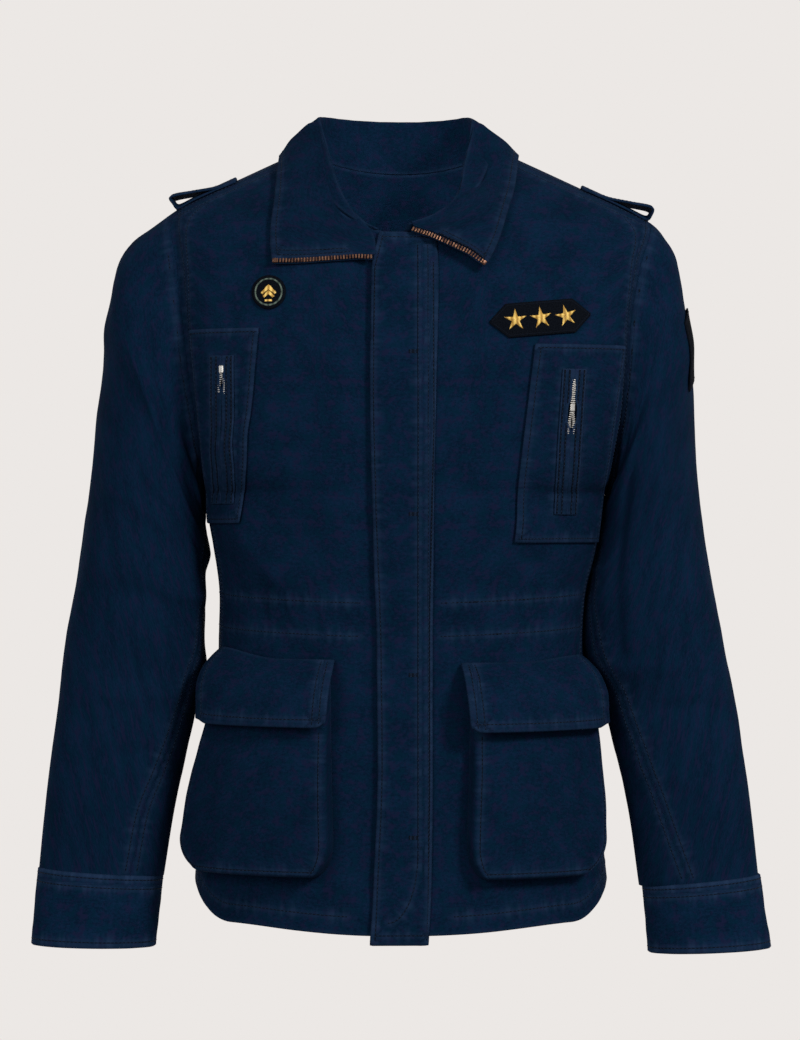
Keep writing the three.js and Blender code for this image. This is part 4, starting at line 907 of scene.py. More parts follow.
# Collar: round the neckline from the middle of the front, the roll line, and the free edge
collarColumns = ("turn", "foldX", "foldY", "foldZ", "edgeX", "edgeZ", "off")
collarShapes = {
    right: [
        (14, 21, -86, -68, 110, -98, 6), (26, 33, -79, -60, 112.5, -78, 5),
        (42, 49, -64, -36, 110, -48, 5.5), (64, 63, -32, 7, 108, -16.5, 5.5),
        (90, 71, 2, 38, 106, 1, 5.5), (128, 56, 42, 42, 83, -6, 6), (155, 28, 58, 41.5, 42, -10, 6.5),
        (168, 14, 61.2, 41.2, 21, -10, 6.5), (180, 0, 62, 41, 0, -10, 6),
    ],
    left: [
        (6, 9, -93, -62.5, 75, -104, 10.5), (20, 24, -84, -58, 85, -83, 9.5),
        (40, 46, -68, -41, 93, -56, 7.5), (62, 55, -38, -16, 100, -31, 6), (90, 63, 4, 35, 105, 1.4, 5.5),
        (126, 53, 42, 42, 83, -6, 6), (155, 28, 58, 41.5, 42, -10, 6.5),
        (168, 14, 61.2, 41.2, 21, -10, 6.5), (180, 0, 62, 41, 0, -10, 6),
    ],
}
collarForm = {
    "startRight": 14.0, "startLeft": 3.0, "bulge": 5, "rollWide": 4.6, "rollDeep": 3, "clear": 6.0,
    "clearFly": 8.0, "flyTurn": 40, "columns": 150, "rows": 54, "thickness": 2.2,
    "corner": (-19.5, -100.0, -90.0), "cornerShare": 0.12, "cornerReach": 26.0, "evening": 3,
    "edgeStitches": 5.0, "endStitches": (3.6, 9.0),
}


def overTorso(side, face, x, z, off, wide=1.0, fine=True):  # x: a distance from the middle
    side, x, z, off = spread(side, x, z, off)
    across = acrossAt(side, x, z)
    beside = np.minimum(0.999, across + 0.01 * wide)
    span = torsoPoint(side, face, beside, z, False)
    span = span - torsoPoint(side, face, np.maximum(0, beside - 0.02 * wide), z, False)
    rise = torsoPoint(side, face, across, z + 3 * wide, False)
    rise = rise - torsoPoint(side, face, across, z - 3 * wide, False)
    out = unit(np.cross(span, rise) * (-side * face)[..., None])
    return torsoPoint(side, face, across, z, fine) + out * off[..., None]


def collarSection(side, turn, face):
    rows = asRows(collarColumns, collarShapes[side])
    foldX, foldY, foldZ, edgeX, edgeZ, off = (readTable(rows, "turn", c, turn) for c in collarColumns[1:])
    x = bodyForm["neckHalf"] * np.sin(np.radians(turn))
    base = torsoPoint(side, face, acrossAt(side, x, 0.0), topHeight(face, x))
    inward = np.stack([-base[:, 0], bodyForm["neckMiddle"] - base[:, 1], 0 * x], -1)
    base = base + unit(inward) * 1.6 + np.array([0, 0, 0.6])
    fold = np.stack([side * foldX, foldY, foldZ], -1)
    lean = np.hypot(*(fold - base)[:, :2].T) / np.linalg.norm(fold - base, axis=1)
    base[:, 2] += 1.6 * lean
    edge = overTorso(side, face, edgeX, edgeZ, off, 1, False)
    down = base - fold
    stand = np.linalg.norm(down, axis=1)
    down = unit(down)
    out = edge - fold
    out = unit(out - down * (out * down).sum(-1, keepdims=True))
    deep = np.minimum(collarForm["rollDeep"], stand * 0.4)[:, None]
    standTop = fold + down * deep
    crest = fold + out * collarForm["rollWide"] / 2
    leafTop = fold + out * collarForm["rollWide"] + down * deep
    bulge = unit(leafTop - base)
    overFly = (side == left) & (turn < collarForm["flyTurn"])
    clear = np.where(overFly, collarForm["clearFly"], collarForm["clear"])
    leaf = []
    for t in (0, 0.12, 0.25, 0.5, 0.75, 1.0):
        swell = smooth(3 * t) * (1 - smooth(4 * t - 3))
        point = mix(leafTop, edge, t) + bulge * collarForm["bulge"] * swell
        point = point + endCorner(side, turn, t, leafTop, edge)
        surface = overTorso(side, face, np.abs(point[:, 0]), point[:, 2], clear * (1 - 0.3 * t), 1, False)
        within = (surface[:, 1] - point[:, 1]) * face
        below = topHeight(face, np.abs(point[:, 0])) - point[:, 2]
        push = 0.5 * (within + np.sqrt(within ** 2 + 9)) * smooth(below / 14)
        point[:, 1] = point[:, 1] + face * np.where(t < 1, push, 0)
        leaf.append(point)
    return np.array([base, mix(base, standTop, 0.5), standTop, crest] + leaf)


def endCorner(side, turn, t, leafTop, edge):  # the right end runs down beside the fly, then out
    if side == left:
        return 0.0
    corner = np.array(collarForm["corner"])
    share = collarForm["cornerShare"]
    if t < share:
        target = mix(leafTop[0], corner, t / share)
    else:
        target = mix(corner, edge[0], (t - share) / (1 - share))
    fade = np.clip(1 - (turn - collarForm["startRight"]) / collarForm["cornerReach"], 0, 1) ** 2
    return (target - mix(leafTop[0], edge[0], t)) * fade[:, None] * np.array([1.0, 0.0, 1.0])


def collarColumnsOf(side, turns):
    ahead, behind = collarSection(side, turns, front), collarSection(side, turns, back)
    return np.where((turns < 90)[None, :, None], ahead, behind)


count = int(collarForm["columns"] / fineness)
rightTurns = np.linspace(collarForm["startRight"], 180, count)
leftTurns = np.linspace(collarForm["startLeft"], 180, count)[:-1][::-1]
control = np.concatenate([collarColumnsOf(right, rightTurns), collarColumnsOf(left, leftTurns)], axis=1)
for _ in range(collarForm["evening"]):
    control[:, 1:-1] = control[:, :-2] * 0.25 + control[:, 1:-1] * 0.5 + control[:, 2:] * 0.25
leafTop = control[4, -1]
crestLine = control[3, 4:-4]
collarGrid = curveThrough(control, int(collarForm["rows"] / fineness))
runU, runV = gridRuns(collarGrid)
collarNormals = gridNormals(collarGrid)
leafShare = smooth((runV / runV[-1] - 0.35) / 0.2)
lift = 0.55 * unevenness(runU / 34 + 20, runV / 30) + 0.25 * unevenness(runU / 14 + 40, runV / 15)
collarGrid = collarGrid + collarNormals * (lift * leafShare)[..., None]


def onGrid(grid, row, column):  # a point between those of a grid, by fractional row and column
    row = np.clip(np.asarray(row, float), 0, grid.shape[0] - 1.001)
    column = np.clip(np.asarray(column, float), 0, grid.shape[1] - 1.001)
    i, j = np.floor(row).astype(int), np.floor(column).astype(int)
    s, t = (row - i)[..., None], (column - j)[..., None]
    return mix(mix(grid[i, j], grid[i, j + 1], t), mix(grid[i + 1, j], grid[i + 1, j + 1], t), s)


def sewGrid(thread, grid, normals, row, column):  # a row of stitches along fractional rows and columns
    row, column = spread(row, column)
    return sew(thread, onGrid(grid, row, column), unit(onGrid(normals, row, column)))


sewCollar = partial(sewGrid, "threadCollar", collarGrid, collarNormals)
rowCount, columnCount = collarGrid.shape[:2]
rowStep = np.linalg.norm(np.diff(collarGrid, axis=0), axis=-1)[rowCount // 2:].mean(0)
everyColumn = np.arange(2, columnCount - 2)
fromEdge = collarForm["edgeStitches"] / rowStep[everyColumn]
collarRows = [sewCollar(rowCount - 1 - fromEdge, everyColumn)]
columnStep = np.linalg.norm(np.diff(collarGrid, axis=1), axis=-1)
rowsAlong = np.arange(int(rowCount * 0.45), rowCount - 2)
for end, way in ((0, 1), (columnCount - 1, -1)):
    spacing = columnStep[rowsAlong, 4 if way > 0 else -5]
    for distance in collarForm["endStitches"]:
        collarRows.append(sewCollar(rowsAlong, end + way * distance / spacing))
piece = clothPiece("collarTurned", collarGrid, collarForm["thickness"], 1, rows=collarRows, worn=[crestLine])
place(piece, ["collar"], "navy_twill", collarLook, **cuts["collar"])
print("collar made")

# Fly: its two edges down the centre front, and the rows of stitches beside them
flyShape = asRows(("z", "right", "left"), (
    (-74, -17.5, 31), (-110, -24.5, 33), (-200, -25.5, 31), (-345, -22, 28), (-430, -19, 27),
    (-540, -18, 27), (-640, -22, 26), (-690.5, -25, 24)))
flyForm = {
    "off": 2.3, "stand": 2.2, "rows": 236, "columns": 28, "thickness": 2.2, "rightStitches": 3.2,
    "leftEdge": 1.2,
    "bend": (15.8, -610, 26, 62), "bars": (-180, -320, -460, -600), "barWide": (7.5, 15.5), "barPitch": 0.9,
}
# Upright rows of stitches: distance from the middle, and the heights of both ends
flyLines = ((15.8, -84, -610), (24.4, -84, -690), (28.8, -100, -690))


def flyPoint(z, x, lift=0.0):  # x: across the centre front, to the wearer's left
    z, x = spread(z, x)
    rightEdge, leftEdge = readTable(flyShape, "z", "right", z), readTable(flyShape, "z", "left", z)
    share = np.clip((x - rightEdge) / (leftEdge - rightEdge), 0, 1)
    side = np.where(x < 0, right, left)
    ripple = 0.35 * unevenness(x / 15 + 30, z / 30, 80) + 0.2 * unevenness(x / 7 + 50, z / 12, 80)
    ridges = 1.1 * np.exp(-((x - 18) / 2.4) ** 2) + 1.0 * np.exp(-((x - 27.5) / 2.0) ** 2)
    off = flyForm["off"] + flyForm["stand"] * (1 - share) + ripple + ridges + lift
    return overTorso(side, front, np.abs(x), z, off)


def sewFly(x, z):
    z, x = spread(z, x)
    out = unit(flyPoint(z, x, 1.0) - flyPoint(z, x))
    return sew("threadFly", flyPoint(z, x), out)


flyZ = np.linspace(-78, -687, 240)
flyRows = [sewFly(readTable(flyShape, "z", "right", flyZ) + flyForm["rightStitches"], flyZ)]
for x, top, bottom in flyLines:
    z = flyZ[(flyZ < top) & (flyZ > bottom)]
    flyRows.append(sewFly(np.minimum(x, readTable(flyShape, "z", "left", z) - flyForm["leftEdge"]), z))
turn = np.linspace(0, math.pi / 2, 30)
startX, startZ, wide, tall = flyForm["bend"]
flyRows.append(sewFly(startX - wide * (1 - np.cos(turn)), startZ - tall * np.sin(turn)))
for z, start in ((-78.5, -16), (-683, -21)):
    flyRows.append(sewFly(np.linspace(start, 25, 30), z))
for z in flyForm["bars"]:
    for row in range(4):
        sewFly(np.linspace(*flyForm["barWide"], 8), z + row * flyForm["barPitch"])
z = np.linspace(-690.5, -74, int(flyForm["rows"] / fineness))[:, None]
share = np.linspace(0, 1, flyForm["columns"])[None]
x = mix(readTable(flyShape, "z", "right", z), readTable(flyShape, "z", "left", z), share)
piece = clothPiece("flyStrip", flyPoint(z, x), flyForm["thickness"], 1, rows=flyRows)
place(piece, ["fly"], "navy_twill", navyLook, **cuts["fly"])
print("fly made")

# Chest pockets: a patch, its welt and the slot of the upright zip
chestShapes = {
    right: {"rows": [{"z": -158, "inner": 123, "outer": 182}, {"z": -326, "inner": 137, "outer": 167}],
            "top": -188, "bottom": -303, "middleTop": 154, "middleBottom": 152, "slider": -193,
            "teethEnd": -212, "parts": ((-201, 8, 1.3), (-235, 16, 0.4))},
    left: {"rows": [{"z": -172, "inner": 117, "outer": 195}, {"z": -343, "inner": 97, "outer": 173}],
           "top": -200, "bottom": -312, "middleTop": 150, "middleBottom": 143, "slider": -226,
           "teethEnd": -247, "parts": ((-210, 8, 1.6), (-231, 12, 4.2))},
}
chestForm = {"off": 3.3, "thickness": 1.5, "half": 3.0, "border": 7.0, "lip": 2.1, "columns": 34,
             "rows": 68, "beside": 0.3, "weltThickness": 1.3, "weltTop": 1.9}


def roundSide(side, z, x1, x2, share):
    return halfWidth(side, z) * sine(mix(acrossAt(side, x1, z), acrossAt(side, x2, z), share))


def chestPoint(side, share, down, off=0.0):  # shares from the inner edge and from the top
    shape = chestShapes[side]
    share, down = spread(share, down)
    top, bottom = shape["rows"][0]["z"], shape["rows"][-1]["z"]
    z = mix(top, bottom, down)
    inner = readTable(shape["rows"], "z", "inner", z)
    outer = readTable(shape["rows"], "z", "outer", z)
    return overTorso(side, front, roundSide(side, z, inner, outer, share), z, chestForm["off"] + off)


def weltPoint(side, aside, z, off=0.0):  # beside the middle of the slot
    shape = chestShapes[side]
    aside, z = spread(aside, z)
    share = (z - shape["top"]) / (shape["bottom"] - shape["top"])
    middle = mix(shape["middleTop"], shape["middleBottom"], share)
    return overTorso(side, front, middle + aside, z, chestForm["off"] + off)


def weltTop(side, aside, z, off):
    return weltPoint(side, aside, z, chestForm["weltTop"] + off)


def sewSurface(thread, point, *at):  # point takes the places and a distance off the cloth
    at = spread(*at)
    low, high = point(*at, 0.0), point(*at, 1.0)
    return sew(thread, low, unit(high - low))


for side in (right, left):
    name = sideNames[side].capitalize()
    shape = chestShapes[side]
    thread = "threadChest" + name
    t = np.linspace(0.02, 0.98, 90)
    rows = [sewSurface(thread, partial(chestPoint, side), across, down)
            for across, down in ((0.04, t), (0.96, t), (t, 0.018), (t, 0.982))]
    share = np.linspace(0, 1, int(chestForm["columns"] / fineness))[None]
    down = np.linspace(1, 0, int(chestForm["rows"] / fineness))[:, None]
    ends = chestForm["border"] + chestForm["half"]
    beside = chestForm["beside"]
    weltZ = np.linspace(shape["bottom"] - 6, shape["top"] + 6, 60)
    around = [weltPoint(side, -ends, weltZ), weltPoint(side, ends, weltZ)]
    piece = clothPiece("chestPocket" + name, chestPoint(side, share, down), chestForm["thickness"], side,
                       rows=rows + around)
    place(piece, ["chest_pocket_" + sideNames[side]], "navy_twill_dark", darkLook,
          on=["front_" + sideNames[side]], **cuts["chestPocket" + name])
    for edge, way, low, high in (("Inner", -1, -ends, -beside), ("Outer", 1, beside, ends)):
        aside = np.linspace(low, high, 9)[None]
        z = np.linspace(shape["bottom"] - 6.5, shape["top"] + 6.5, 70)[:, None]
        slit = smooth((np.abs(aside) - beside) / 2.6)
        ajar = sum(wide * np.exp(-((z - at) / tall) ** 4) for at, tall, wide in shape["parts"])
        ajar = ajar * (1 - (np.abs(aside) - beside) / (ends - beside))
        lift = 0.9 + chestForm["lip"] * (0.5 + 0.5 * (1 - slit)) * 0.7 + 0 * z
        grid = weltPoint(side, aside + np.sign(aside) * ajar, z, lift)
        rows = [sewSurface(thread, partial(weltTop, side), way * across, weltZ)
                for across in (ends - 1.6, 4.3)]
        piece = clothPiece("chestWelt" + edge + name, grid, chestForm["weltThickness"], side, rows=rows)
        place(piece, ["chest_welt_" + sideNames[side]], "navy_twill", darkLook, on=["chestPocket" + name],
              **cuts["chestWelt"])
print("chest pockets made")

# Bellows pockets and their flaps
bagShapes = {
    right: {"top": -457, "bottom": -634, "innerTop": 60, "innerBottom": 57, "outerTop": 154,
            "outerBottom": 178, "face": 23},
    left: {"top": -460, "bottom": -636, "innerTop": 61, "innerBottom": 57, "outerTop": 163,
           "outerBottom": 170, "face": 18},
}
bagForm = {"mouth": 9, "pillow": 3, "seam": 1.6, "corner": 32, "innerCut": 0.6, "outerCut": 0.85,
           "thickness": 1.6, "columns": 46, "rows": 72, "stitches": 5.5}
# How the bag rises at its borders: distance in from the border, and share of the height of its face
bagRise = asRows(("gap", "share"), (
    (0, 0), (0.5, 0.22), (0.9, 0.45), (1.2, 0.68), (1.6, 0.86), (2.3, 0.96), (3.2, 1.02), (4.4, 1.03),
    (6.5, 0.99),
    (9, 1.0)))
flapShapes = {
    right: {"top": -445, "rise": 9, "bottom": -504, "innerTop": 57, "innerBottom": 61, "outerTop": 155,
            "outerBottom": 156},
    left: {"top": -448, "rise": 5, "bottom": -508, "innerTop": 53, "innerBottom": 58, "outerTop": 158,
           "outerBottom": 160},
}
flapLifts = asRows(("down", "lift"), ((0, 0.4), (0.12, 9), (0.3, 18), (0.62, 25), (1, 26)))
flapForm = {"off": 2.7, "thickness": 2.2, "columns": 50, "rows": 34, "corner": 3.5}


def bagGridAt(side, share, gap, height, off=0.0):
    shape = bagShapes[side]
    share, gap, height = spread(share, gap, height)
    tall = shape["top"] - shape["bottom"]
    down = 1 - height / tall
    z = mix(shape["top"], shape["bottom"], down)
    rise = np.maximum(0, bagForm["corner"] - height)
    cut = bagForm["corner"] - np.sqrt(bagForm["corner"] ** 2 - rise ** 2)
    inner = mix(shape["innerTop"], shape["innerBottom"], down) + cut * bagForm["innerCut"]
    outer = mix(shape["outerTop"], shape["outerBottom"], down) - cut * bagForm["outerCut"]
    face = mix(bagForm["mouth"], shape["face"], smooth(down * 1.5))
    pillow = bagForm["pillow"] * np.sin(share * math.pi) * np.sin(np.minimum(1, down + 0.3) * math.pi)
    ground = readTable(bagRise, "gap", "share", gap) * readTable(bagRise, "gap", "share", height)
    ripple = 0.5 * unevenness(share * 4.5 + 20 * side + 40, z / 26)
    ripple = ripple + 0.25 * unevenness(share * 11 + 60, z / 11)
    lift = bagForm["seam"] + (face + pillow + ripple - bagForm["seam"]) * ground + off
    x = roundSide(side, z, inner, outer, share)
    return overTorso(side, front, x, z, lift, 4.0)


def flapPoint(side, share, down, off=0.0):
    flap = flapShapes[side]
    share, down = spread(share, down)
    inner = mix(flap["innerTop"], flap["innerBottom"], down)
    outer = mix(flap["outerTop"], flap["outerBottom"], down)
    z = mix(flap["top"] + flap["rise"] * smooth((share - 0.5) * 2), flap["bottom"], down)
    nearEdge = np.minimum(share, 1 - share)
    corner = flapForm["corner"] * (1 - smooth(nearEdge * 14)) * smooth((down - 0.8) / 0.2)
    lift = readTable(flapLifts, "down", "lift", down) + flapForm["off"] + off
    lift = lift + 0.4 * unevenness(share * 6 + 30 * side + 40, down * 2.6)
    lift = lift + 0.2 * unevenness(share * 14 + 60, down * 6)
    return overTorso(side, front, mix(inner, outer, share), z + corner, lift, 4.0)


def bagWidth(side, height):
    shape = bagShapes[side]
    down = 1 - height / (shape["top"] - shape["bottom"])
    return mix(shape["outerTop"] - shape["innerTop"], shape["outerBottom"] - shape["innerBottom"], down)


rim = np.array([row["gap"] for row in bagRise])
for side in (right, left):
    name = sideNames[side].capitalize()
    shape = bagShapes[side]
    tall = shape["top"] - shape["bottom"]
    heights = np.concatenate([rim, np.linspace(rim[-1], tall, int(bagForm["rows"] / fineness))[1:]])[:, None]
    wide = bagWidth(side, heights)
    stepsIn = np.linspace(0, 1, int(bagForm["columns"] / fineness))[None]
    between = rim[-1] + stepsIn * (wide - 2 * rim[-1])
    border = np.repeat(rim[None, :-1], len(heights), 0)
    across = np.concatenate([border, between, wide - border[:, ::-1]], axis=1)
    gap = np.minimum(across, wide - across)
    grid = bagGridAt(side, across / wide, gap, heights)
    thread = "threadBag" + name
    point = partial(bagGridAt, side)
    height = np.linspace(5, tall - 52, 110)
    distance = bagForm["stitches"]
    fromSide = distance / bagWidth(side, height)
    rows = [sewSurface(thread, point, share, distance, height) for share in (fromSide, 1 - fromSide)]
    fromSide = distance / bagWidth(side, distance)
    rows.append(sewSurface(thread, point, np.linspace(fromSide, 1 - fromSide, 90), rim[-1], distance))
    piece = clothPiece("pocketBag" + name, grid, bagForm["thickness"], side, rows=rows)
    place(piece, ["pocket_bag_" + sideNames[side]], "navy_twill_dark", darkLook,
          on=["front_" + sideNames[side]], **cuts["pocketBag" + name])

    thread = "threadFlap" + name
    t = np.linspace(0.03, 0.97, 90)
    rows = [sewSurface(thread, partial(flapPoint, side), across, down)
            for across, down in ((t, 0.9), (0.045, t), (0.1, t), (0.96, t))]
    share = np.linspace(0, 1, int(flapForm["columns"] / fineness))[None]
    down = np.linspace(1, 0, int(flapForm["rows"] / fineness))[:, None]
    grid = flapPoint(side, share, down)
    piece = clothPiece("pocketFlap" + name, grid, flapForm["thickness"], side, rows=rows)
    place(piece, ["pocket_flap_" + sideNames[side]], "navy_twill", navyLook, on=["pocketBag" + name],
          **cuts["pocketFlap" + name])
print("pockets made")

# Shoulder loops near the armholes: the stitched end, where the fold opens, and its turn
loopShapes = {right: {"start": 147, "closed": 166, "turn": 200},
              left: {"start": 163, "closed": 186, "turn": 222}}
loopForm = {"half": 16, "opening": 9.6, "wall": 1.1, "cloth": 1.9, "flatter": 0.45, "under": 0.8,
            "rows": 70, "columns": 22}


def onShoulder(side, x, aside, off):
    def surface(atX, atAside):
        topY, topZ = ridge(atX)
        edge = np.where(atAside < 0, torsoSections[0]["edgeFront"], torsoSections[0]["edgeBack"])
        full = mix(edge, bodyForm["depth"], cosine(acrossAt(side, atX, 0.0)))
        share = np.abs(atAside) / (full + topY)
        down = 1 - np.sqrt(1 - share ** (1 / crown(atX)))
        return np.stack([side * atX, topY + atAside, topZ - down * bodyForm["rollSide"]], -1)

    x, aside, off = spread(x, aside, off)
    along = surface(x + 1, aside) - surface(x - 1, aside)
    across = surface(x, aside + 2) - surface(x, aside - 2)
    up = unit(np.cross(along, across) * side)
    return surface(x, aside) + up * off[..., None]


for side in (right, left):
    name = sideNames[side].capitalize()
    start, closed, turnX = (loopShapes[side][key] for key in ("start", "closed", "turn"))
    under, wall = loopForm["under"], loopForm["wall"]
    over, opened = under + wall + 0.3, under + wall + loopForm["opening"]
    flatter = loopForm["flatter"]
    path = [
        (start, under, 0), (mix(start, turnX, 0.35), under, 0), (mix(start, turnX, 0.7), under, 0),
        (turnX - 2, under, 0), (turnX + 1, mix(under, opened + wall, 0.5), flatter / 2),
        (turnX - 2, opened + wall, flatter),
        (mix(closed, turnX, 0.5), mix(over, opened, 0.55) + wall, flatter * 0.8),
        (closed, over + wall + 0.4, flatter / 2), (mix(start, closed, 0.5), over + wall, 0),
        (start, over + wall, 0),
    ]
    aside = np.linspace(-loopForm["half"], loopForm["half"], loopForm["columns"])
    control = []
    for x, off, flat in path:
        strip = onShoulder(side, x, aside, off)
        strip[:, 2] += (onShoulder(side, x, 0.0, off)[..., 2] - strip[:, 2]) * flat
        control.append(strip)
    grid = curveThrough(np.array(control), int(loopForm["rows"] / fineness))
    normals = gridNormals(grid, side)
    thread = "threadLoop" + name
    rows = []
    rowsAlong = np.arange(int(len(grid) * 0.55), len(grid) - 1)
    for column in (2.2, loopForm["columns"] - 3.2):
        rows.append(sewGrid(thread, grid, normals, rowsAlong, column))
    for row in (len(grid) - 3.5, len(grid) - 11.0):
        rows.append(sewGrid(thread, grid, normals, row, np.linspace(2.2, loopForm["columns"] - 3.2, 12)))
    piece = clothPiece("shoulderLoop" + name, grid, loopForm["cloth"], side, rows=rows)
    place(piece, ["shoulder_loop_" + sideNames[side]], "navy_twill", navyLook,
          on=["front_" + sideNames[side]], **cuts["shoulderLoop" + name])
print("shoulder loops made")

# Zips: one tooth, shaped once and copied along the tapes
def boxShape(size, bevel):  # a block with bevelled edges, read back as points and faces
    bpy.ops.object.select_all(action="DESELECT")
    bpy.ops.mesh.primitive_cube_add(size=1)
    block = bpy.context.active_object
    bpy.ops.object.mode_set(mode="EDIT")
    bpy.ops.mesh.select_all(action="SELECT")
    bpy.ops.transform.resize(value=size)
    bpy.ops.mesh.bevel(offset=bevel, segments=1)
    bpy.ops.object.mode_set(mode="OBJECT")
    points = np.array([vertex.co[:] for vertex in block.data.vertices])
    faces = [tuple(polygon.vertices) for polygon in block.data.polygons]
    bpy.data.objects.remove(block, do_unlink=True)
    return points, faces


def copies(name, shape, spots, across, ahead, up):  # the shape at each spot, turned by three directions
    points, faces = shape
    verts = [spot + points[:, :1] * a + points[:, 1:2] * b + points[:, 2:] * c
             for spot, a, b, c in zip(spots, across, ahead, up)]
    allFaces = [tuple(n + len(points) * k for n in face) for k in range(len(spots)) for face in faces]
    return makeMesh(name, np.concatenate(verts), allFaces, False)


def evenly(line, pitch, first=0.0):  # places along a line, and the way it runs there
    run = lengthsAlong(line)
    at = np.arange(first, run[-1], pitch)
    return alongLine(line, run, at), unit(alongLine(line, run, at + 0.5) - alongLine(line, run, at - 0.5))


def metalLook(name, bright, dull, rough, spots):
    look, tree, shader = newLook(name)
    spot = (addNode(tree, "ShaderNodeTexCoord"), "Object")
    tarnish = rangeNode(tree, noiseNode(tree, spot, (spots, spots, spots), 3.0, 0.6), 0.38, 0.62)
    join(tree, colourMix(tree, tarnish, dull, bright), shader, "Base Color")
    join(tree, rangeNode(tree, tarnish, 0.0, 1.0, rough + 0.2, rough), shader, "Roughness")
    shader.inputs["Metallic"].default_value = 1.0
    return look


tapeLook = twillLook("zipTape", 0.3, 0.3)
copperLook = metalLook("copperTeeth", (0.36, 0.19, 0.12), (0.09, 0.045, 0.035), 0.4, 260.0)
silverLook = metalLook("silverTeeth", (0.95, 0.93, 0.89), (0.55, 0.52, 0.48), 0.3, 420.0)
collarTooth = boxShape((4.0, 1.55, 1.7), 0.3)
collarStop = boxShape((4.4, 3.4, 2.4), 0.6)
zipForm = {"tape": 5.0, "inside": 1.5, "thickness": 1.0, "pitch": 2.65, "tooth": 3.0, "raised": 0.35,
           "sink": 0.9, "startRight": 4.5}

for side, end, beside in ((right, 0, 4), (left, collarGrid.shape[1] - 1, collarGrid.shape[1] - 5)):
    name = sideNames[side].capitalize()
    line = collarGrid[:, end]
    corner = np.array(collarForm["corner"]) if side == right else leafTop
    first = int(np.linalg.norm(line - corner, axis=1).argmin())
    run = lengthsAlong(line[first:])
    first = first + int((run < (zipForm["startRight"] if side == right else 0)).sum())
    line = line[first:]
    out = line - collarGrid[first:, beside]
    way = np.gradient(line, axis=0)
    out = unit(out - way * ((out * way).sum(-1) / (way ** 2).sum(-1))[:, None])
    up = unit(np.cross(out, way) * (1 if side == left else -1))
    up = up * np.sign((up * np.array([0, -1.0, 0])).sum(-1, keepdims=True))
    low = -up * zipForm["sink"]
    strip = np.stack([line + low - out * zipForm["inside"], line + low + out * 0.5 * zipForm["tape"],
                      line + low + out * zipForm["tape"]], 1)
    if side == right:
        strip = strip[:, ::-1]
    piece = clothPiece("collarZipTape" + name, strip, zipForm["thickness"], 1)
    place(piece, ["collar_zip_" + sideNames[side]], "navy_twill", darkLook, on=["collar"],
          **cuts["collarZip"])
    middle = line + out * zipForm["tooth"] + up * zipForm["raised"]
    spots, ahead = evenly(middle, zipForm["pitch"], 1.0)
    nearest = np.array([np.linalg.norm(middle - spot, axis=1).argmin() for spot in spots])
    ups = unit(up[nearest])
    across = unit(np.cross(ahead, ups))
    for part, block, some in (("Teeth", collarTooth, slice(-1)), ("Stop", collarStop, slice(-1, None))):
        piece = copies("collarZip" + part + name, block, spots[some], across[some], ahead[some], ups[some])
        place(piece, ["collar_zip_" + sideNames[side]], "brass_zip", copperLook)

chestTooth = boxShape((2.7, 1.05, 1.6), 0.25)
slider = boxShape((4.4, 7.0, 2.6), 0.8)
chestZip = {"pitch": 0.9, "off": 1.3, "sunk": 0.4, "apart": 0.7, "spread": 1.1, "tapeHalf": 5.5,
            "tapeOff": 0.5, "tapeThickness": 0.6, "sliderOff": 1.6}
for side in (right, left):
    name = sideNames[side].capitalize()
    shape = chestShapes[side]
    z = np.linspace(shape["bottom"] + 2, shape["top"] - 2, 90)
    aside = np.linspace(-chestZip["tapeHalf"], chestZip["tapeHalf"], 5)[None]
    tape = weltPoint(side, aside, z[:, None], chestZip["tapeOff"])
    piece = clothPiece("chestZipTape" + name, tape, chestZip["tapeThickness"], side)
    place(piece, ["chest_zip_" + sideNames[side]], "navy_twill", tapeLook, on=["chestPocket" + name],
          **cuts["chestZip"])
    teeth = []
    up = unit(weltPoint(side, 0.0, z[45], 2.0) - weltPoint(side, 0.0, z[45], 0.0))
    for half in (-1, 1):
        under = smooth((shape["teethEnd"] - z) / 4)
        apart = chestZip["apart"] + chestZip["spread"] * smooth((shape["slider"] - 4 - z) / 8) * (1 - under)
        line = weltPoint(side, half * apart, z, mix(chestZip["off"], chestZip["sunk"], under))
        spots, ahead = evenly(line, chestZip["pitch"] * 2, chestZip["pitch"] * (1 + half))
        ups = np.tile(up, (len(spots), 1))
        teeth.append((spots, unit(np.cross(ahead, ups)), ahead, ups))
    piece = copies("chestZipTeeth" + name, chestTooth, *(np.concatenate(part) for part in zip(*teeth)))
    place(piece, ["chest_zip_" + sideNames[side]], "steel_zip", silverLook)
    at, off = shape["slider"], chestZip["sliderOff"]
    spot = weltPoint(side, 0.0, at, off)[None]
    ahead = unit(weltPoint(side, 0.0, at - 1, off)[None] - spot)
    ups = unit(weltPoint(side, 0.0, at, off + 1)[None] - spot)
    piece = copies("chestZipSlider" + name, slider, spot, unit(np.cross(ahead, ups)), ahead, ups)
    place(piece, ["chest_zip_" + sideNames[side]], "steel_zip", silverLook)
print("zips made")


# Patches of felt, and raised embroidery on them
def feltLook(name, dark, light):
    look, tree, shader = newLook(name)
    weave = (addNode(tree, "ShaderNodeUVMap", uv_map="weave"), "UV")
    fibres = noiseNode(tree, weave, (900.0, 900.0, 1.0), 3.0, 0.7)
    join(tree, colourMix(tree, rangeNode(tree, fibres, 0.3, 0.7), dark, light), shader, "Base Color")
    shader.inputs["Roughness"].default_value = 0.95
    shader.inputs["Specular IOR Level"].default_value = 0.03
    addBump(tree, shader, fibres, 0.6, 0.0004)
    return look


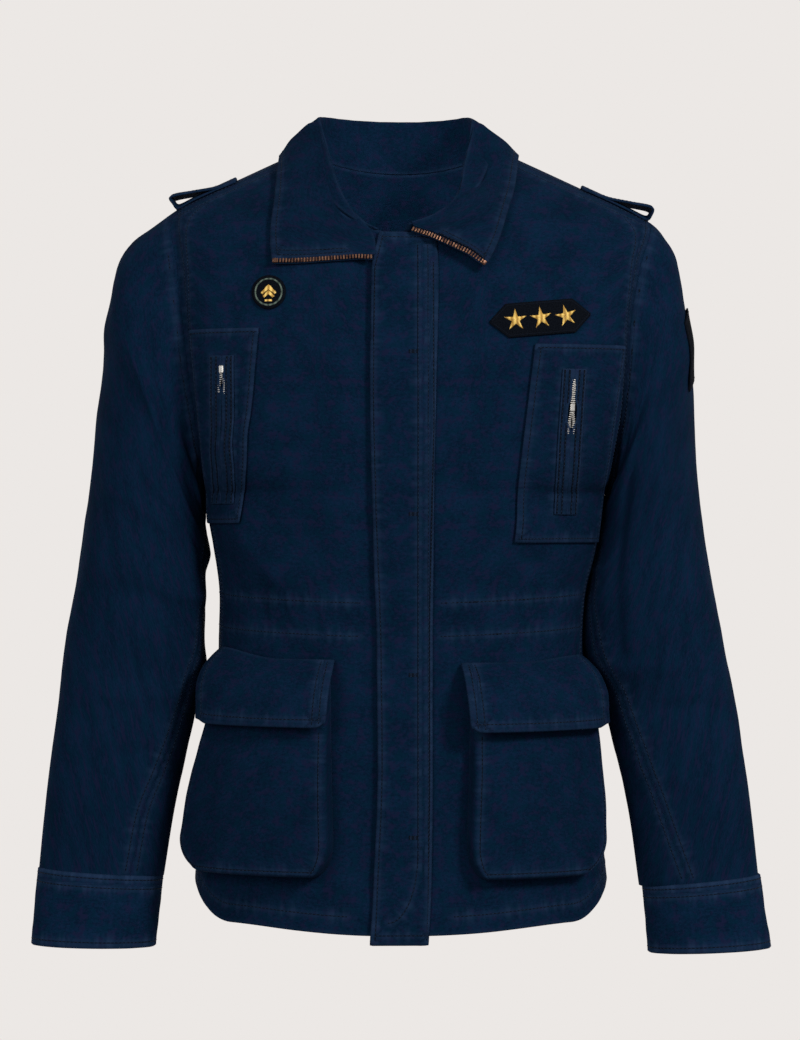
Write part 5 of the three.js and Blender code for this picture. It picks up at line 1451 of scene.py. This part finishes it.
def threadedLook(name, dark, light, shine, stripes=75.0):  # satin stitches side by side
    look, tree, shader = newLook(name)
    weave = (addNode(tree, "ShaderNodeUVMap", uv_map="weave"), "UV")
    wave = addNode(tree, "ShaderNodeTexWave", wave_type="BANDS", bands_direction="X")
    wave.inputs["Scale"].default_value = stripes
    wave.inputs["Distortion"].default_value = 1.5
    join(tree, weave, wave, "Vector")
    join(tree, colourMix(tree, (wave, "Fac"), dark, light), shader, "Base Color")
    shader.inputs["Roughness"].default_value = 0.45
    shader.inputs["Specular IOR Level"].default_value = shine
    addBump(tree, shader, (wave, "Fac"), 0.7, 0.0003)
    return look


seamShadow = threadLook("seamShadow", (0.0006, 0.0028, 0.0085))
finishThreads(navyThread, seamShadow, "navy_twill")
felt = feltLook("blackFelt", (0.0012, 0.0018, 0.0035), (0.005, 0.0065, 0.010))
goldThread = threadedLook("goldThread", (0.42, 0.22, 0.03), (1.0, 0.66, 0.17), 0.5)
greenThread = threadedLook("greyGreenThread", (0.035, 0.055, 0.045), (0.11, 0.15, 0.12), 0.2)
blackThread = threadLook("blackThread", (0.004, 0.005, 0.009))


def roundGrid(outline, rings=10):  # a flat shape as rings from its middle out to its outline
    middle = outline.mean(0)
    shares = np.linspace(0.02, 1, rings)[:, None, None]
    return middle + (outline[None] - middle) * shares


def raised(name, outline, onSurface, high, look, slot, nodes=(), low=0.0, steep=0.5, rings=8):
    grid = roundGrid(outline, rings)
    share = np.linspace(0.02, 1, rings)[:, None]
    lift = low + high * np.maximum(0, 1 - share) ** steep + 0 * grid[..., 0]
    top = onSurface(grid[..., 0], grid[..., 1], lift)
    base = onSurface(outline[:, 0], outline[:, 1], low - 0.25 + 0 * outline[:, 0])[None]
    rows = np.concatenate([top, base])
    count, columns = rows.shape[:2]
    faces = [tuple(range(columns))]
    for i in range(count - 1):
        for j in range(columns):
            k = (j + 1) % columns
            faces.append((i * columns + j, (i + 1) * columns + j, (i + 1) * columns + k, i * columns + k))
    faces.append(tuple((count - 1) * columns + j for j in range(columns))[::-1])
    piece = makeMesh(name, rows.reshape(-1, 3), faces)
    piece.data.validate()
    layWeave(piece.data, np.concatenate([grid, outline[None]]).reshape(-1, 2))
    place(piece, nodes, slot, look)


def throughCorners(corners, count):  # a line through its corners, with points between them
    return np.concatenate([np.linspace(a, b, count)[:-1] for a, b in zip(corners[:-1], corners[1:])])


def bandOutline(points, half):  # a narrow closed band along a line
    points = np.asarray(points, float)
    way = unit(np.gradient(points, axis=0))
    aside = np.stack([-way[:, 1], way[:, 0]], -1) * half
    return np.concatenate([points + aside, (points - aside)[::-1]])


starPatch = {"x": 122, "z": -149, "long": 44, "short": 14.5, "shoulder": 29, "tilt": 5.4, "off": 2.2}
starForm = {"radius": 10, "waist": 0.34, "spacing": 22.0, "high": 2.4, "tilts": (-2, 3, 9)}


def onStarPatch(along, up, off):
    along, up, off = spread(along, up, off)
    tilt = math.radians(starPatch["tilt"])
    x = starPatch["x"] + along * math.cos(tilt) - up * math.sin(tilt)
    z = starPatch["z"] + along * math.sin(tilt) + up * math.cos(tilt)
    return overTorso(left, front, x, z, off, 3.0, False)


up = np.linspace(-1, 1, 24)[:, None]
half = mix(starPatch["long"], starPatch["shoulder"], np.abs(up))
grid = onStarPatch(half * np.linspace(-1, 1, 60)[None], up * starPatch["short"], starPatch["off"])
corners = [(-42.2, 0), (-28.2, 13), (28.2, 13), (42.2, 0), (28.2, -13), (-28.2, -13), (-42.2, 0)]
edgeLine = throughCorners(corners, 14)
low, high = (onStarPatch(edgeLine[:, 0], edgeLine[:, 1], starPatch["off"] + rise) for rise in (0, 1))
sew("threadStarPatch", low, unit(high - low))
piece = clothPiece("starPatch", grid, 1.0, 1)
place(piece, ["star_patch"], "black_felt", felt, held="laid", on=["front_left"], **cuts["starPatch"])
for number in (-1, 0, 1):
    turn = np.arange(10) * math.pi / 5 + math.radians(starForm["tilts"][number + 1])
    radius = starForm["radius"] * np.where(np.arange(10) % 2 == 0, 1, starForm["waist"])
    points = np.stack([number * starForm["spacing"] - radius * np.sin(turn), radius * np.cos(turn)], -1)
    outline = throughCorners(np.concatenate([points, points[:1]]), 5)
    raised("star%d" % (number + 2), outline, onStarPatch, starForm["high"], goldThread, "gold_thread",
           ["star_%d" % (number + 2)], starPatch["off"], 0.75)

# The badge: a plain round one, with a ring, two chevrons and a bar
badge = {"x": 114, "z": -126, "radius": 15.0, "off": 1.6, "ring": 11.6,
         "chevrons": (((-6, -1.5), (0, 5.5), (6, -1.5)), ((-4.4, -4.6), (0, 0.4), (4.4, -4.6))),
         "bar": ((-3.2, -7.6), (3.2, -7.6))}


def onBadge(along, up, off):
    along, up, off = spread(along, up, off)
    return overTorso(right, front, badge["x"] - along, badge["z"] + up, off, 3.0, False)


turn = np.linspace(0, 2 * math.pi, 64, endpoint=False)
outline = np.stack([np.sin(turn), np.cos(turn)], -1)
raised("badge", outline * badge["radius"], onBadge, 0.5, felt, "black_felt", ["badge"], badge["off"] - 0.5,
       0.15)
for k, at in enumerate(np.linspace(0, 2 * math.pi, 9)[:-1]):
    arc = at + np.linspace(0, math.pi / 4, 9)
    band = bandOutline(np.stack([np.sin(arc), np.cos(arc)], -1) * badge["ring"], 0.7)
    raised("badgeRing%d" % k, band, onBadge, 0.5, greenThread, "gold_thread", (), badge["off"])
for k, (a, b, c) in enumerate(badge["chevrons"]):
    band = bandOutline(np.concatenate([np.linspace(a, b, 8)[:-1], np.linspace(b, c, 8)]), 1.1)
    raised("badgeChevron%d" % k, band, onBadge, 0.8, goldThread, "gold_thread", (), badge["off"])
band = bandOutline(np.linspace(*badge["bar"], 8), 0.9)
raised("badgeBar", band, onBadge, 0.7, goldThread, "gold_thread", (), badge["off"])

# Sleeve patch
sleevePatch = {"ring": (3.75, 5.15), "turn": (-32, 32), "off": 1.9}
ring = np.linspace(*sleevePatch["ring"], 34)[:, None]
turn = np.radians(np.linspace(*sleevePatch["turn"], 40))[None]


def patchPoint(ring, turn, off):
    out = outOfSleeve(left, ring, turn) * (sleevePatch["off"] + np.asarray(off, float))[..., None]
    return sleevePoint(left, ring, turn, False) + out


border = throughCorners([(3.8, -30), (5.1, -30), (5.1, 30), (3.8, 30), (3.8, -30)], 20)
sewSurface("threadSleevePatch", patchPoint, border[:, 0], np.radians(border[:, 1]))
piece = clothPiece("sleevePatch", patchPoint(ring, turn, 0.0), 1.1, left)
place(piece, ["sleeve_patch"], "black_felt", felt, held="laid", on=["sleeve_left"], **cuts["sleevePatch"])
print("badge and patches made")

finishThreads(blackThread, seamShadow, "black_felt")

# Stage, lights and camera
backdrop = {"half": 24.0, "y": 9.0, "low": -20.0, "high": 20.0}
verts = [(x / metre, backdrop["y"] / metre, z / metre) for z in (backdrop["low"], backdrop["high"])
         for x in (-backdrop["half"], backdrop["half"])]
sweep = makeMesh("backdrop", verts, [(0, 1, 3, 2)], False)
paper, tree, shader = newLook("paper")
shader.inputs["Base Color"].default_value = (0, 0, 0, 1)
shader.inputs["Specular IOR Level"].default_value = 0
shader.inputs["Emission Color"].default_value = (0.838, 0.806, 0.784, 1)
shader.inputs["Emission Strength"].default_value = 1.0
sweep.data.materials.append(paper)


def areaLight(name, spot, target, size, power):
    data = bpy.data.lights.new(name, "AREA")
    data.energy, data.size = power, size
    lamp = bpy.data.objects.new(name, data)
    bpy.context.scene.collection.objects.link(lamp)
    lamp.location = spot
    lamp.rotation_mode = "QUATERNION"
    lamp.rotation_quaternion = (Vector(target) - Vector(spot)).to_track_quat("-Z", "Y")
    return lamp


areaLight("keyLight", (2.3, -2.6, 1.5), (0, 0, -0.3), 0.8, 90)
areaLight("fillLight", (-1.7, -3.1, 0.7), (0, 0, -0.35), 1.6, 39)
neckLight = areaLight("neckLight", (0, -0.055, -0.17), (0, 0.1, -0.03), 0.12, 0.3)
neckLight.visible_camera = False
world = bpy.data.worlds.new("studio")
bpy.context.scene.world = world
world.use_nodes = True
sky = world.node_tree.nodes["Background"]
sky.inputs["Color"].default_value = (1, 1, 1, 1)
sky.inputs["Strength"].default_value = 0.34

shot = {"away": 3.0, "height": -0.324, "field": 0.936, "sensor": 36.0}
camera = bpy.data.objects.new("camera", bpy.data.cameras.new("camera"))
bpy.context.scene.collection.objects.link(camera)
camera.location = (0, -shot["away"], shot["height"])
camera.rotation_euler = (math.pi / 2, 0, 0)
camera.data.sensor_width = shot["sensor"]
camera.data.lens = shot["sensor"] * shot["away"] / shot["field"]
bpy.context.scene.camera = camera
bpy.context.scene.view_settings.view_transform = "Standard"
